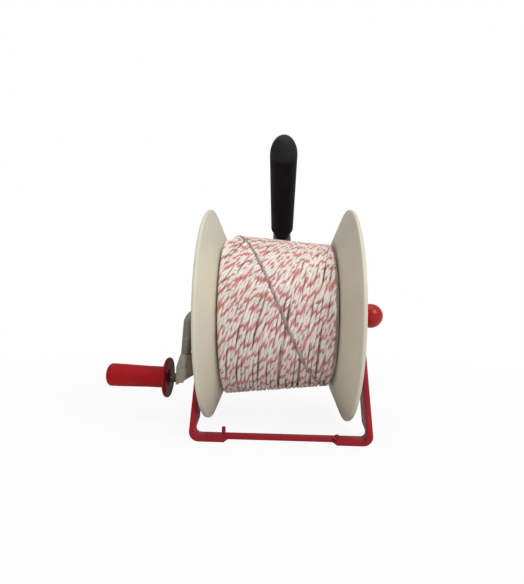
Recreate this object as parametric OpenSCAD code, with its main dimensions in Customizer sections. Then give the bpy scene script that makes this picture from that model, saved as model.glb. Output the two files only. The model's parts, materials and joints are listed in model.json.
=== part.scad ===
// Hand-cranked reel for electric fence wire, in millimetres.
// The axle lies along X with the crank at -X, the foot bar faces -Y, and the feet stand on z = 0.

/* [Drum] */
// Outer diameter of the flanges
flange_d = 220; // [200:1:240]
// Wall thickness of the flanges
flange_t = 4; // [3:0.5:6]
// Diameter of the flat part of each flange
flat_d = 156; // [140:1:170]
// How far the rim flares out beyond the flat part
flare = 13; // [8:0.5:18]
// Width between the flat faces of the flanges
drum_w = 112; // [90:1:130]
// Outer diameter of the barrel
barrel_d = 70; // [66:1:84]
// Wall thickness of the barrel
barrel_wall = 4; // [3:0.5:5]
// Diameter of the hub on each flange
hub_d = 34; // [28:1:36]
// Number of stiffening ribs for each screw
ribs_per_screw = 2; // [1:1:2]
// Thickness of a stiffening rib
rib_t = 2.5; // [1.5:0.5:4]
// Height of a stiffening rib
rib_h = 6; // [3:0.5:8]
// Number of screws in each flange
screw_count = 4; // [3:1:5]
// Shank diameter of the flange screws
screw_d = 4; // [3:0.5:5]
// Length of the flange screws under the head
screw_l = 18; // [14:1:24]

/* [Wire] */
// Diameter of the polywire
wire_d = 4; // [3:0.25:5]
// Outer diameter of the wound wire at the crank's end
wound_d_left = 169; // [150:1:172]
// Outer diameter of the wound wire at the far end
wound_d_right = 148; // [130:1:172]
// Free length left between the winding and each flange
wire_end_gap = 0.5; // [0.4:0.1:3]

/* [Axle and crank] */
// Diameter of the axle bar
axle_d = 11; // [10:0.5:13]
// Distance from the axle to the crank spindle
crank_r = 71; // [60:1:80]
// Radius of the crank bend at the bar's centre line
crank_bend_r = 12; // [10:0.5:18]
// Straight length of the axle between the frame and the bend
crank_stand = 4.5; // [1:0.5:10]
// Outward lean of the crank arm in degrees
crank_lean = 4.5; // [0:0.5:8]
// Sheet thickness of the crank bracket
bracket_t = 2; // [1.5:0.5:4]
// Height of the crank bracket above the spindle
bracket_rise = 27; // [24:1:36]
// Height of the bracket's web above the spindle
web_rise = 13; // [11:0.5:20]
// How much the bracket's leaves narrow towards the top
leaf_taper = 4; // [0:0.5:6]
// Diameter of the drive pin
pin_d = 5; // [4:0.5:6]

/* [Crank grip] */
// Tilt of the bracket, the spindle and the grip in degrees, outer end up
spindle_tilt = 1.6; // [0:0.1:4]
// Diameter of the spindle inside the grip
spindle_d = 8; // [7:0.5:10]
// Diameter of the spindle's threaded end
spindle_thread_d = 6; // [5:0.5:6.5]
// Length of the spindle's shoulder between bracket and grip
shoulder_l = 7.2; // [4:0.2:14]
// Diameter of the collar disc
collar_d = 44; // [36:1:52]
// Thickness of the collar disc
collar_t = 4.8; // [3:0.2:8]
// Length of the grip between the collar and the cap
knob_l = 60; // [45:1:75]
// Diameter of the grip at the collar
knob_d_in = 23.2; // [21:0.2:28]
// Diameter of the grip at the cap
knob_d_out = 25; // [22:0.2:30]
// Length of the domed cap
cap_l = 5; // [4:0.5:11]

/* [Brake knob] */
// Diameter of the ball knob
ball_d = 26; // [24:0.5:32]
// Diameter of the threaded end of the axle
stub_d = 8; // [7:0.5:9]
// Length of the threaded end of the axle
stub_l = 15; // [12:0.5:16]
// Thickness of the friction washer
washer_t = 1.5; // [1:0.1:3]

/* [Frame] */
// Gap between the flange rims and the floor
floor_gap = 6; // [3:0.5:20]
// Gap between the rim and the plate beside it, on the crank's side
side_gap = 1.5; // [1:0.5:8]
// How far the drum sits from the frame's middle towards the crank
drum_off = 3; // [0:0.5:5]
// Thickness of the stand strap
strap_t = 4.5; // [3:0.5:6]
// Thickness of the rear side plates
plate_t = 2.5; // [2:0.5:6]
// Width of the stand strap's legs
leg_w = 26; // [20:1:30]
// Radius of the rounded ends around the axle
boss_r = 16; // [14:0.5:20]
// Distance of the foot bar's front edge ahead of the axle
foot_reach = 74; // [60:1:95]
// Depth of the foot bar at its ends
foot_depth = 16; // [12:1:22]
// Depth of the foot bar's narrow middle
foot_mid_depth = 7; // [6:0.5:10]
// Length of the foot bar's narrow middle
foot_mid_l = 98; // [80:1:110]
// Radius inside the strap's bends
strap_bend_r = 4.5; // [3:0.5:8]
// Distance of the rear feet behind the axle
rear_reach = 60; // [50:1:75]
// Width of the rear legs
rear_leg_w = 22; // [16:1:28]
// Lean of the handle arms from upright in degrees
arm_a = 54; // [44:1:60]
// Width of the handle arms and the crossbar
arm_w = 26; // [24:1:30]
// Thickness of the crossbar
crossbar_t = 5; // [4:0.5:8]
// Gap between the flange rims and the crossbar
crossbar_gap = 6; // [4:0.5:12]
// Diameter of the frame bolts
frame_bolt_d = 6; // [5:0.5:8]
// Distance of the frame bolts from the axle
frame_bolt_r = 27; // [26:0.5:34]
// Height of the tall wire peg
peg_h = 6.5; // [4:0.5:12]
// Diameter of the wire pegs
peg_d = 3.6; // [3:0.2:5]

/* [Handle] */
// Thickness of the handle stem
stem_t = 5; // [4:0.5:7]
// Width of the handle stem on the crossbar
stem_w = 22; // [18:1:26]
// Width of the stem inside the grip
tang_w = 16; // [12:0.5:17]
// Distance of the stem's bend from the crossbar's middle
stem_rise = 26.5; // [16:0.5:32]
// Rise of the grip above the horizontal in degrees
grip_a = 30; // [22:1:48]
// Length of the grip's full-bodied part
grip_l = 112; // [90:1:130]
// Diameter of the grip at its inner end
grip_d_in = 26.5; // [24:0.5:32]
// Diameter of the grip at its outer end
grip_d_out = 27.5; // [25:0.5:34]
// Height of the dome that the grip's rounded end is cut from
grip_dome = 22; // [10:1:28]
// Diameter of the grip's neck
neck_d = 19; // [18.5:0.5:23]
// Length of the grip's neck
neck_l = 9; // [6:1:20]
// Diameter of the stem bolts
stem_bolt_d = 5; // [4:0.5:6]
// Distance between the stem bolts
stem_bolt_gap = 14; // [12:0.5:15]

/* [Fits] */
// Radial clearance of shafts in their bores
run_fit = 0.05; // [0.02:0.01:0.1]
// Clearance of fasteners in their holes
hole_fit = 0.2; // [0.1:0.05:0.4]
// End play of the turning parts
end_float = 0.4; // [0.2:0.1:1]

/* [Hidden] */
$fn = 64;
cut = 1;
bend_lap = 0.2;
bend_thin = 0.1;

paint_red = [0.60, 0.10, 0.13];
grip_red = [0.66, 0.10, 0.12];
zinc = [0.62, 0.61, 0.56];
cream = [0.86, 0.83, 0.74];
polywire = [0.93, 0.86, 0.82];
black_rubber = [0.08, 0.08, 0.08];
steel = [0.72, 0.72, 0.70];
nylon = [0.85, 0.84, 0.80];

// Places along the axle, counted from the drum's middle, and for the frame from its own middle
flange_r = flange_d / 2;
hub_r = hub_d / 2;
flat_x = drum_w / 2;
wall_x = flat_x + flange_t;
rim_x = wall_x + flare;
plate_x = rim_x + side_gap + drum_off;
strap_x = plate_x + plate_t;
frame_x = strap_x + strap_t;
axle_z = flange_r + floor_gap;
axle_r = axle_d / 2;

// Bushes and hubs
bush_wall = 2.5;
bush_r = axle_r + bush_wall;
bush_flange_t = 2;
bush_flange_r = bush_r + 5;
hub_reach = plate_x - bush_flange_t - end_float;
hub_left = hub_reach - drum_off;
hub_right = hub_reach + drum_off;
hub_inner_l = 16;

// Flange screws, the bosses that hold them and the ribs between them
rib_count = screw_count * ribs_per_screw;
boss_wall = 2.5;
boss_merge = 1;
screw_boss_r = screw_d / 2 + boss_wall;
screw_ring_r = barrel_d / 2 - barrel_wall - screw_boss_r + boss_merge;
screw_head_r = screw_d;
screw_head_h = 2.4;
screw_slot_w = 1;
screw_slot_depth = 1.2;

// Wound wire
wire_r = wire_d / 2;
wind_w = drum_w - 2 * wire_end_gap;
wind_least_gap = 0.45;
wind_most_loops = 24;
wind_loops = min(wind_most_loops, floor((wind_w - wire_d) / (wire_d + wind_least_gap)));
wind_pitch = (wind_w - wire_d) / wind_loops;
wind_x0 = -wind_w / 2 + wire_r;
wind_x1 = wind_x0 + wind_loops * wind_pitch;
wind_rings = 24;
wind_sides = 6;
wind_tail_a = 130;
tail_bend_r = 2 * wire_d;
tail_steps = 5;
layer_gap = 0.2;
core_room = wire_r + layer_gap;

// Crank
frame_left = frame_x - drum_off;
bend_x = -(frame_left + crank_stand);
bend_a = 90 - crank_lean;
arm_top_x = bend_x - crank_bend_r * sin(bend_a);
arm_top_z = -crank_bend_r * (1 - cos(bend_a));
spindle_nut_r = hex_r(spindle_thread_d);
arm_end_z = -(crank_r - spindle_nut_r - 2.2);
arm_l = (arm_top_z - arm_end_z) / cos(crank_lean);
bracket_fit = 0.2;
web_in_x = arm_x(arm_end_z) - axle_r / cos(crank_lean) - bracket_fit
    - (crank_r + arm_end_z) * tan(spindle_tilt);
web_out_x = web_in_x - bracket_t;
leaf_x = bend_x - 3.5;
leaf_y = axle_r + bracket_fit;
bracket_half_w = leaf_y + bracket_t;
leaf_drop = 6;
rivet_z = -(crank_r - 15);
rivet_d = 4;
rivet_head_h = 1;

// Crank grip
shoulder_x = web_out_x - shoulder_l;
collar_x = shoulder_x - end_float;
knob_x0 = collar_x - collar_t;
knob_x1 = knob_x0 - knob_l;
cap_x = knob_x1 - cap_l;
left_reach = (web_out_x - cap_x) * cos(spindle_tilt) + (knob_d_out / 2 - cap_l) * sin(spindle_tilt) - web_out_x;
head_seat = 6.2;
head_l = 4.3;
head_r = spindle_d / 2 + 2.5;
head_x = knob_x1 + head_seat - end_float;
socket_r = head_r + 0.5;
plug_l = 0.8;
shoulder_r = spindle_d / 2 + 1;
collar_edge = 1.6;

// Ball knob
washer_x = frame_x + drum_off + run_fit;
knob_face_x = washer_x + washer_t + hole_fit;
ball_r = ball_d / 2;
ball_face_r = 9.5;
ball_x = knob_face_x + sqrt(ball_r * ball_r - ball_face_r * ball_face_r);
stub_x0 = knob_face_x - hole_fit;
stub_x1 = stub_x0 + stub_l;
insert_r = stub_d / 2 + 2;
insert_x0 = knob_face_x + hole_fit;
insert_l = stub_x1 - insert_x0 + 0.5;

// Side view of the frame: first value along Y, second above the axle
leg_foot_z = -axle_z + strap_t + strap_bend_r;
leg_step_z = leg_foot_z + 5;
leg_lean = atan2(foot_reach - leg_w / 2, axle_z);
foot_rear = foot_reach - foot_depth;
foot_chamfer = 3;
crossbar_r = flange_r + crossbar_gap + crossbar_t / 2;
frame_bolt_yz = [frame_bolt_r * sin(arm_a), frame_bolt_r * cos(arm_a)];
bolt_lug_r = frame_bolt_d / 2 + 7;
frame_bolt_head_h = 4;
frame_nut_h = 5;
peg_x = foot_mid_l / 2 + foot_chamfer + 1.5;
peg_y = -(foot_rear + foot_mid_depth / 2);
stub_h = 1.6;

// Handle stem and grip
stem_r = crossbar_r + crossbar_t / 2 + stem_t / 2;
stem_bend = [stem_r * sin(arm_a) - stem_rise * cos(arm_a), stem_r * cos(arm_a) + stem_rise * sin(arm_a)];
stem_free = 7;
neck_chamfer = 4;
grip_end = neck_l + neck_chamfer + grip_l;
dome_a = 72;
tang_l = grip_end - 12;
tang_fit = 0.1;
stem_head_h = 3.5;
stem_nut_h = 4;

// The reel's reach on each side places the drum so that the whole stands over the origin
right_reach = ball_x + ball_r;
drum_x = (left_reach - right_reach) / 2;

// Centre line of the crank arm at a height below the axle
function arm_x(z) = arm_top_x - (arm_top_z - z) * tan(crank_lean);

// Corner radius of a hexagon across its corners for a bolt of diameter d
function hex_r(d) = d * 0.95;

// Puts children, drawn around the axle's middle, in their place
module at_axle() {
    translate([drum_x, 0, axle_z]) children();
}

// Puts children, drawn around the axle at the frame's middle, in their place
module at_frame() {
    translate([drum_x + drum_off, 0, axle_z]) children();
}

// Frame of the crank spindle: along X, tilted about its place on the bracket's web
module on_spindle() {
    at_axle() translate([web_out_x, 0, -crank_r]) rotate([0, spindle_tilt, 0]) translate([-web_out_x, 0, 0])
        children();
}

// Extrudes a side-view outline from x to x + t
module side_slab(x, t) {
    translate([x, 0, 0]) rotate([90, 0, 90]) linear_extrude(t) children();
}

// Round bar along X between two places
module x_bar(x0, x1, r) {
    translate([min(x0, x1), 0, 0]) rotate([0, 90, 0]) cylinder(h = abs(x1 - x0), r = r);
}

// Solid of revolution around X from a profile of [radius, place] points
module x_turned(profile) {
    rotate([90, 0, 90]) rotate_extrude() polygon(profile);
}

// Hexagon along X between two places
module x_hex(x0, x1, r) {
    translate([min(x0, x1), 0, 0]) rotate([0, 90, 0]) cylinder(h = abs(x1 - x0), r = r, $fn = 6);
}

// Frame of the handle arms: local z points out along the arms, local y back and down
module along_arms() {
    rotate([-arm_a, 0, 0]) children();
}

// Frame of the hand grip: local z runs along the grip from the stem's bend
module along_grip() {
    translate([0, stem_bend[0], stem_bend[1]]) rotate([90 - grip_a, 0, 0]) children();
}

// Straight bar outline from the axle to a distance l, leaning back by a degrees
module bar_outline(w, l, a) {
    rotate(-a) translate([-w / 2, -w / 4]) square([w, l + w / 4]);
}

module leg_outline() {
    dx = leg_w / 2 / cos(leg_lean);
    front_y = -(foot_reach - dx);
    slope = (foot_reach - dx) / (-leg_foot_z);
    step_y = slope * leg_step_z + dx;
    polygon([
        [-foot_reach, leg_foot_z],
        [-foot_rear, leg_foot_z],
        [-foot_rear, leg_foot_z + 1],
        [step_y, leg_step_z],
        [dx, 0],
        [-dx, 0],
        [front_y - dx, leg_foot_z]
    ]);
    circle(boss_r);
    bar_outline(2 * bolt_lug_r, frame_bolt_r, arm_a);
    translate(frame_bolt_yz) circle(bolt_lug_r);
}

module frame_holes() {
    circle(bush_r + run_fit);
    translate(frame_bolt_yz) circle((frame_bolt_d + hole_fit) / 2);
}

module foot_bar_outline() {
    end_x = frame_x - strap_t - strap_bend_r;
    mid_x = foot_mid_l / 2;
    mid_y = -(foot_rear + foot_mid_depth);
    polygon([
        [-end_x, -foot_reach], [-mid_x - foot_chamfer, -foot_reach], [-mid_x, mid_y],
        [mid_x, mid_y], [mid_x + foot_chamfer, -foot_reach], [end_x, -foot_reach],
        [end_x, -foot_rear], [-end_x, -foot_rear]
    ]);
}

// Bend of the strap between a leg and the foot bar, on the right
module strap_bend() {
    outer = strap_bend_r + strap_t;
    translate([frame_x - outer, -foot_rear, leg_foot_z]) rotate([90, 0, 0]) linear_extrude(foot_depth)
        difference() {
            intersection() {
                circle(outer);
                translate([0, -outer]) square(outer);
            }
            circle(strap_bend_r);
        }
}

module stand_strap() {
    color(paint_red) at_frame() difference() {
        union() {
            for (s = [0, 1]) mirror([s, 0, 0]) {
                side_slab(strap_x, strap_t) difference() {
                    leg_outline();
                    frame_holes();
                }
                strap_bend();
            }
            translate([0, 0, -axle_z]) linear_extrude(strap_t) foot_bar_outline();
        }
        for (s = [-1, 1]) translate([s * peg_x, peg_y, -axle_z - cut])
            cylinder(h = strap_t + 2 * cut, d = peg_d - 1 + hole_fit);
    }
}

module rear_plate_outline() {
    rear_lean = atan2(rear_reach, axle_z);
    dy = rear_leg_w / 2 / cos(rear_lean);
    difference() {
        union() {
            circle(boss_r);
            bar_outline(arm_w, crossbar_r + crossbar_t / 2, arm_a);
            polygon([[rear_reach - dy, -axle_z], [rear_reach + dy, -axle_z], [dy, 0], [-dy, 0]]);
        }
        frame_holes();
    }
}

module right_rear_plate() {
    color(paint_red) at_frame() side_slab(plate_x, plate_t) rear_plate_outline();
}

module left_rear_plate() {
    color(paint_red) at_frame() side_slab(-strap_x, plate_t) rear_plate_outline();
}

module stem_bolt_places() {
    for (s = [-1, 1]) translate([0, s * stem_bolt_gap / 2, 0]) children();
}

module rear_crossbar() {
    color(paint_red) at_frame() along_arms() difference() {
        translate([-plate_x, -arm_w / 2, crossbar_r - crossbar_t / 2]) cube([2 * plate_x, arm_w, crossbar_t]);
        stem_bolt_places() translate([0, 0, crossbar_r - crossbar_t])
            cylinder(h = 2 * crossbar_t, d = stem_bolt_d + hole_fit);
    }
}

module frame_bolt_places() {
    for (s = [0, 1]) mirror([s, 0, 0]) translate([0, frame_bolt_yz[0], frame_bolt_yz[1]]) children();
}

module frame_bolts() {
    tip = 1.5;
    color(steel) at_frame() frame_bolt_places() {
        x_bar(plate_x - frame_nut_h - tip, frame_x, frame_bolt_d / 2);
        x_hex(frame_x, frame_x + frame_bolt_head_h, hex_r(frame_bolt_d));
    }
}

module frame_nuts() {
    color(steel) at_frame() frame_bolt_places() difference() {
        x_hex(plate_x - frame_nut_h, plate_x, hex_r(frame_bolt_d));
        x_bar(plate_x - frame_nut_h - cut, plate_x + cut, frame_bolt_d / 2 + run_fit);
    }
}

module axle_bushes() {
    color(nylon) at_frame() for (s = [0, 1]) mirror([s, 0, 0]) difference() {
        union() {
            x_bar(plate_x - bush_flange_t, frame_x, bush_r);
            x_bar(plate_x - bush_flange_t, plate_x, bush_flange_r);
        }
        x_bar(plate_x - bush_flange_t - cut, frame_x + cut, axle_r + run_fit);
    }
}

// Side view of the stem: along the crossbar, round the bend and up through the grip
module stem_outline() {
    half = stem_t / 2;
    along = [-cos(arm_a), sin(arm_a)];
    rise = [-cos(grip_a), sin(grip_a)];
    mitre = half / cos((arm_a - grip_a) / 2);
    mid_a = (arm_a + grip_a) / 2;
    corner = mitre * [sin(mid_a), cos(mid_a)];
    out = half * [sin(arm_a), cos(arm_a)];
    up = half * [sin(grip_a), cos(grip_a)];
    rear = stem_bend - (stem_rise + arm_w / 2) * along;
    front = stem_bend + (stem_free + tang_l) * rise;
    polygon([rear - out, rear + out, stem_bend + corner, front + up, front - up, stem_bend - corner]);
}

module handle_stem() {
    color(zinc) at_frame() difference() {
        side_slab(-stem_w / 2, stem_w) stem_outline();
        along_arms() stem_bolt_places() translate([0, 0, stem_r - stem_t])
            cylinder(h = 2 * stem_t, d = stem_bolt_d + hole_fit);
        for (s = [0, 1]) mirror([s, 0, 0]) along_grip() translate([tang_w / 2, -stem_t, stem_free])
            cube([stem_w, 2 * stem_t, tang_l + stem_t]);
    }
}

module stem_bolts() {
    tip = 1;
    inner = crossbar_r - crossbar_t / 2 - stem_nut_h - tip;
    outer = stem_r + stem_t / 2;
    color(steel) at_frame() along_arms() stem_bolt_places() {
        translate([0, 0, inner]) cylinder(h = outer - inner, d = stem_bolt_d);
        translate([0, 0, outer]) cylinder(h = stem_head_h, r = hex_r(stem_bolt_d), $fn = 6);
    }
}

module stem_nuts() {
    base = crossbar_r - crossbar_t / 2 - stem_nut_h;
    color(steel) at_frame() along_arms() stem_bolt_places() translate([0, 0, base]) difference() {
        cylinder(h = stem_nut_h, r = hex_r(stem_bolt_d), $fn = 6);
        translate([0, 0, -cut]) cylinder(h = stem_nut_h + 2 * cut, r = stem_bolt_d / 2 + run_fit);
    }
}

module hand_grip() {
    out_r = grip_d_out / 2;
    color(black_rubber) at_frame() along_grip() translate([0, 0, stem_free]) difference() {
        rotate_extrude() polygon(concat(
            [[0, 0], [neck_d / 2, 0], [neck_d / 2, neck_l], [grip_d_in / 2, neck_l + neck_chamfer]],
            [for (a = [0:dome_a / 8:dome_a]) [out_r * cos(a), grip_end + grip_dome * sin(a)]],
            [[0, grip_end + grip_dome * sin(dome_a)]]
        ));
        translate([-tang_w / 2 - tang_fit, -stem_t / 2 - tang_fit, -cut])
            cube([tang_w + 2 * tang_fit, stem_t + 2 * tang_fit, tang_l + tang_fit + cut]);
    }
}

module wire_peg(x, h) {
    translate([x, peg_y, -axle_z]) {
        translate([0, 0, strap_t]) cylinder(h = h, d = peg_d);
        translate([0, 0, hole_fit]) cylinder(h = strap_t, d = peg_d - 1);
    }
}

module wire_pegs() {
    color(paint_red) at_frame() {
        wire_peg(-peg_x, peg_h);
        wire_peg(peg_x, stub_h);
    }
}

module brake_washer() {
    color(black_rubber) at_axle() difference() {
        x_bar(washer_x, washer_x + washer_t, bush_flange_r);
        x_bar(washer_x - cut, washer_x + washer_t + cut, axle_r + hole_fit);
    }
}

module axle_crank() {
    color(zinc) at_axle() difference() {
        union() {
            x_bar(bend_x - bend_lap, stub_x0, axle_r);
            x_bar(stub_x0 - cut, stub_x1, stub_d / 2);
            translate([bend_x, 0, -crank_bend_r]) rotate([90, 0, 180]) rotate([0, 0, 90 - bend_a])
                rotate_extrude(angle = bend_a) translate([crank_bend_r, 0]) circle(axle_r - bend_thin);
            translate([arm_top_x, 0, arm_top_z]) rotate([180, crank_lean, 0])
                translate([0, 0, -bend_lap]) cylinder(h = arm_l + bend_lap, r = axle_r);
        }
        pin_hole();
        translate([arm_x(rivet_z), 0, rivet_z]) rotate([90, 0, 0])
            cylinder(h = 2 * axle_d, d = rivet_d + hole_fit, center = true);
    }
}

module pin_hole() {
    translate([-(wall_x + hub_left) / 2, 0, 0]) cylinder(h = 2 * hub_d, r = pin_d / 2 + run_fit, center = true);
}

module drive_pin() {
    color(steel) at_axle() translate([-(wall_x + hub_left) / 2, 0, 0])
        cylinder(h = hub_d - 1, d = pin_d, center = true);
}

// Places of the flange screws around the axle
module screw_places() {
    for (i = [0:screw_count - 1]) rotate([360 * (i + 0.5) / screw_count, 0, 0])
        translate([0, 0, screw_ring_r]) children();
}

module barrel_outline() {
    difference() {
        circle(barrel_d / 2);
        circle(barrel_d / 2 - barrel_wall);
    }
    for (i = [0:screw_count - 1]) rotate(360 * (i + 0.5) / screw_count)
        translate([0, screw_ring_r]) circle(screw_boss_r);
}

module drum_barrel() {
    color(cream) at_axle() difference() {
        side_slab(-flat_x, drum_w) barrel_outline();
        for (s = [0, 1]) mirror([s, 0, 0]) screw_places()
            x_bar(wall_x - screw_l - 1, flat_x + cut, screw_d / 2 + run_fit);
    }
}

// Radial rib on the outer face of a flange
module flange_rib() {
    translate([0, rib_t / 2, 0]) rotate([90, 0, 0]) linear_extrude(rib_t) polygon([
        [wall_x - cut, hub_r - cut], [wall_x + rib_h, hub_r - cut], [wall_x + rib_h, flat_d / 4],
        [wall_x, flat_d / 2], [wall_x - cut, flat_d / 2]
    ]);
}

module flange(hub_end) {
    difference() {
        union() {
            x_turned([
                [axle_r + run_fit, flat_x - hub_inner_l], [hub_r, flat_x - hub_inner_l], [hub_r, flat_x],
                [flat_d / 2, flat_x], [flange_r - 1, flat_x + flare], [flange_r, flat_x + flare + 1],
                [flange_r, rim_x - 1], [flange_r - 1, rim_x], [flange_r - 4, rim_x], [flat_d / 2, wall_x],
                [hub_r, wall_x], [hub_r, hub_end], [axle_r + run_fit, hub_end]
            ]);
            for (i = [0:rib_count - 1]) rotate([360 * (i + 0.5) / rib_count + 180 / screw_count, 0, 0])
                flange_rib();
        }
        screw_places() x_bar(flat_x - cut, wall_x + cut, (screw_d + hole_fit) / 2);
        x_bar(flat_x - hub_inner_l - cut, hub_end + cut, axle_r + run_fit);
    }
}

module right_flange() {
    color(cream) at_axle() flange(hub_right);
}

module left_flange() {
    color(cream) at_axle() difference() {
        mirror([1, 0, 0]) flange(hub_left);
        pin_hole();
    }
}

module flange_screws() {
    color(steel) at_axle() for (s = [0, 1]) mirror([s, 0, 0]) screw_places() {
        x_bar(wall_x - screw_l, wall_x, screw_d / 2);
        difference() {
            x_bar(wall_x, wall_x + screw_head_h, screw_head_r);
            for (a = [0, 90]) rotate([a, 0, 0])
                translate([wall_x + screw_head_h - screw_slot_depth, -screw_slot_w / 2, -screw_d / 2])
                    cube([screw_head_h, screw_slot_w, screw_d]);
        }
    }
}

// Pocket in the wound core where a tail of the outer layer goes down, on side s of the tail's place
module tail_pocket(x, s) {
    l = tail_bend_r + core_room;
    low = wind_r(x) - tail_bend_r - wire_d - layer_gap / 2;
    rotate([-wind_tail_a, 0, 0]) translate([x - core_room, s < 0 ? -l : 0, low])
        cube([2 * core_room, l, wind_r(x) - low]);
}

module wire_core() {
    half_w = wind_w / 2;
    inner_r = barrel_d / 2 + layer_gap;
    color(polywire) at_axle() difference() {
        x_turned([[inner_r, -half_w], [core_r(-half_w), -half_w], [core_r(half_w), half_w], [inner_r, half_w]]);
        tail_pocket(wind_x0, -1);
        tail_pocket(wind_x1, 1);
    }
}

// Radius of the outer layer's centre line at a place along the axle
function wind_r(x) = wound_d_left / 2 - wire_r
    + (wound_d_right - wound_d_left) / 2 * (x - wind_x0) / (wind_x1 - wind_x0);

// Radius of the wound core at a place along the axle, clear of the straight stretches between rings
function core_r(x) = wind_r(x) * cos(180 / wind_rings) - core_room;

// Outward and forward directions at an angle round the axle
function out_at(a) = [0, sin(a), cos(a)];
function on_at(a) = [0, cos(a), -sin(a)];

// Point and heading at distance u outward and w onward from the axle, at angle a and place x
function wind_step(a, x, u, w, du, dw) =
    [[x, 0, 0] + u * out_at(a) + w * on_at(a), du * out_at(a) + dw * on_at(a)];

// Step on a tail's bend at b degrees, side s of the tail's place, moved outward by du
function tail_step(x, s, b, du) = wind_step(wind_tail_a, x, wind_r(x) - tail_bend_r * (1 - sin(b)) + du,
    s * tail_bend_r * cos(b), -s * cos(b), sin(b));

// Path of the outer layer: a straight tail, its bend, the loops, and the same at the far end
wind_path = concat(
    [tail_step(wind_x0, -1, 0, -wire_d)],
    [for (i = [0:tail_steps - 1]) tail_step(wind_x0, -1, 90 * i / tail_steps, 0)],
    [for (i = [0:wind_loops * wind_rings])
        let (a = wind_tail_a + 360 * i / wind_rings, x = wind_x0 + wind_pitch * i / wind_rings)
        wind_step(a, x, wind_r(x), 0, 0, 1)],
    [for (i = [1:tail_steps]) tail_step(wind_x1, 1, 90 - 90 * i / tail_steps, 0)],
    [tail_step(wind_x1, 1, 0, -wire_d)]
);
wind_points = [for (p = wind_path) for (k = [0:wind_sides - 1]) let (f = 360 * k / wind_sides)
    p[0] + wire_r * (cos(f) * [1, 0, 0] + sin(f) * cross([1, 0, 0], p[1]))];
wind_n = len(wind_path);

function ring_point(i, k) = i * wind_sides + k % wind_sides;

wind_faces = concat(
    [for (k = [1:wind_sides - 2]) [0, k + 1, k]],
    [for (i = [0:wind_n - 2]) for (k = [0:wind_sides - 1]) each [
        [ring_point(i, k), ring_point(i, k + 1), ring_point(i + 1, k + 1)],
        [ring_point(i, k), ring_point(i + 1, k + 1), ring_point(i + 1, k)]]],
    [for (k = [1:wind_sides - 2]) [for (q = [0, k, k + 1]) ring_point(wind_n - 1, q)]]
);

// Least distance between points of rings one loop apart, over the whole length
wind_least = min([for (i = [0:wind_n - 1 - wind_rings + 1]) for (j = [-1:1])
    let (m = i + wind_rings + j)
    if (m < wind_n) for (k = [0:wind_sides - 1]) for (q = [0:wind_sides - 1])
        norm(wind_points[ring_point(i, k)] - wind_points[ring_point(m, q)])]);
echo(winding_loops = wind_loops, winding_least_gap = wind_least);

module wire_winding() {
    color(polywire) at_axle() polyhedron(wind_points, wind_faces, convexity = 10);
}

module crank_bracket() {
    color(zinc) difference() {
        on_spindle() difference() {
            union() {
                for (s = [0, 1]) mirror([0, s, 0]) translate([0, bracket_half_w, 0]) rotate([90, 0, 0])
                    linear_extrude(bracket_t) polygon([
                        [web_out_x, -leaf_drop], [web_in_x, -leaf_drop], [leaf_x, leaf_drop],
                        [leaf_x, bracket_rise], [web_out_x + leaf_taper, bracket_rise], [web_out_x, web_rise]
                    ]);
                translate([web_out_x, -bracket_half_w, -leaf_drop])
                    cube([bracket_t, 2 * bracket_half_w, leaf_drop + web_rise]);
            }
            x_bar(web_out_x - cut, web_in_x + cut, spindle_thread_d / 2 + run_fit);
        }
        at_axle() translate([arm_x(rivet_z), 0, rivet_z]) rotate([90, 0, 0])
            cylinder(h = 4 * axle_d, d = rivet_d + hole_fit, center = true);
    }
}

module bracket_rivet() {
    color(zinc) at_axle() translate([arm_x(rivet_z), 0, rivet_z]) rotate([90, 0, 0]) {
        cylinder(h = 2 * bracket_half_w, d = rivet_d, center = true);
        for (s = [0, 1]) mirror([0, 0, s]) translate([0, 0, bracket_half_w])
            cylinder(h = rivet_head_h, r = rivet_d);
    }
}

module crank_spindle() {
    nut_h = spindle_thread_d * 0.8;
    color(steel) on_spindle() {
        x_bar(web_in_x + nut_h + 0.8, web_out_x, spindle_thread_d / 2);
        x_bar(web_out_x, shoulder_x, shoulder_r);
        x_bar(shoulder_x, head_x, spindle_d / 2);
        x_bar(head_x, head_x - head_l, head_r);
    }
}

module spindle_nut() {
    nut_h = spindle_thread_d * 0.8;
    color(steel) on_spindle() difference() {
        x_hex(web_in_x, web_in_x + nut_h, spindle_nut_r);
        x_bar(web_in_x - cut, web_in_x + nut_h + cut, spindle_thread_d / 2 + run_fit);
    }
}

module crank_grip() {
    color(grip_red) on_spindle() difference() {
        x_turned([
            [0, collar_x], [collar_d / 2 - collar_edge, collar_x], [collar_d / 2, collar_x - collar_edge],
            [collar_d / 2, knob_x0 + collar_edge], [collar_d / 2 - collar_edge, knob_x0],
            [knob_d_in / 2 + 2, knob_x0], [knob_d_in / 2, knob_x0 - 2], [knob_d_out / 2, knob_x1], [0, knob_x1]
        ]);
        x_bar(collar_x + cut, knob_x1 - cut, spindle_d / 2 + run_fit);
        x_bar(knob_x1 - cut, knob_x1 + head_seat, socket_r);
    }
}

module crank_grip_cap() {
    r = knob_d_out / 2;
    color(grip_red) on_spindle() x_turned(concat(
        [[0, knob_x1 + plug_l], [socket_r - run_fit, knob_x1 + plug_l], [socket_r - run_fit, knob_x1]],
        [for (a = [0:10:90]) [r - cap_l * (1 - cos(a)), knob_x1 - cap_l * sin(a)]],
        [[0, cap_x]]
    ));
}

module brake_knob() {
    meet_a = asin(ball_face_r / ball_r);
    steps = 24;
    color(grip_red) at_axle() difference() {
        x_turned(concat(
            [[0, knob_face_x]],
            [for (i = [0:steps - 1]) let (a = meet_a + (180 - meet_a) * i / steps)
                [ball_r * sin(a), ball_x - ball_r * cos(a)]],
            [[0, right_reach]]
        ));
        x_bar(knob_face_x - cut, stub_x1 + 1, insert_r + run_fit);
    }
}

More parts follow.
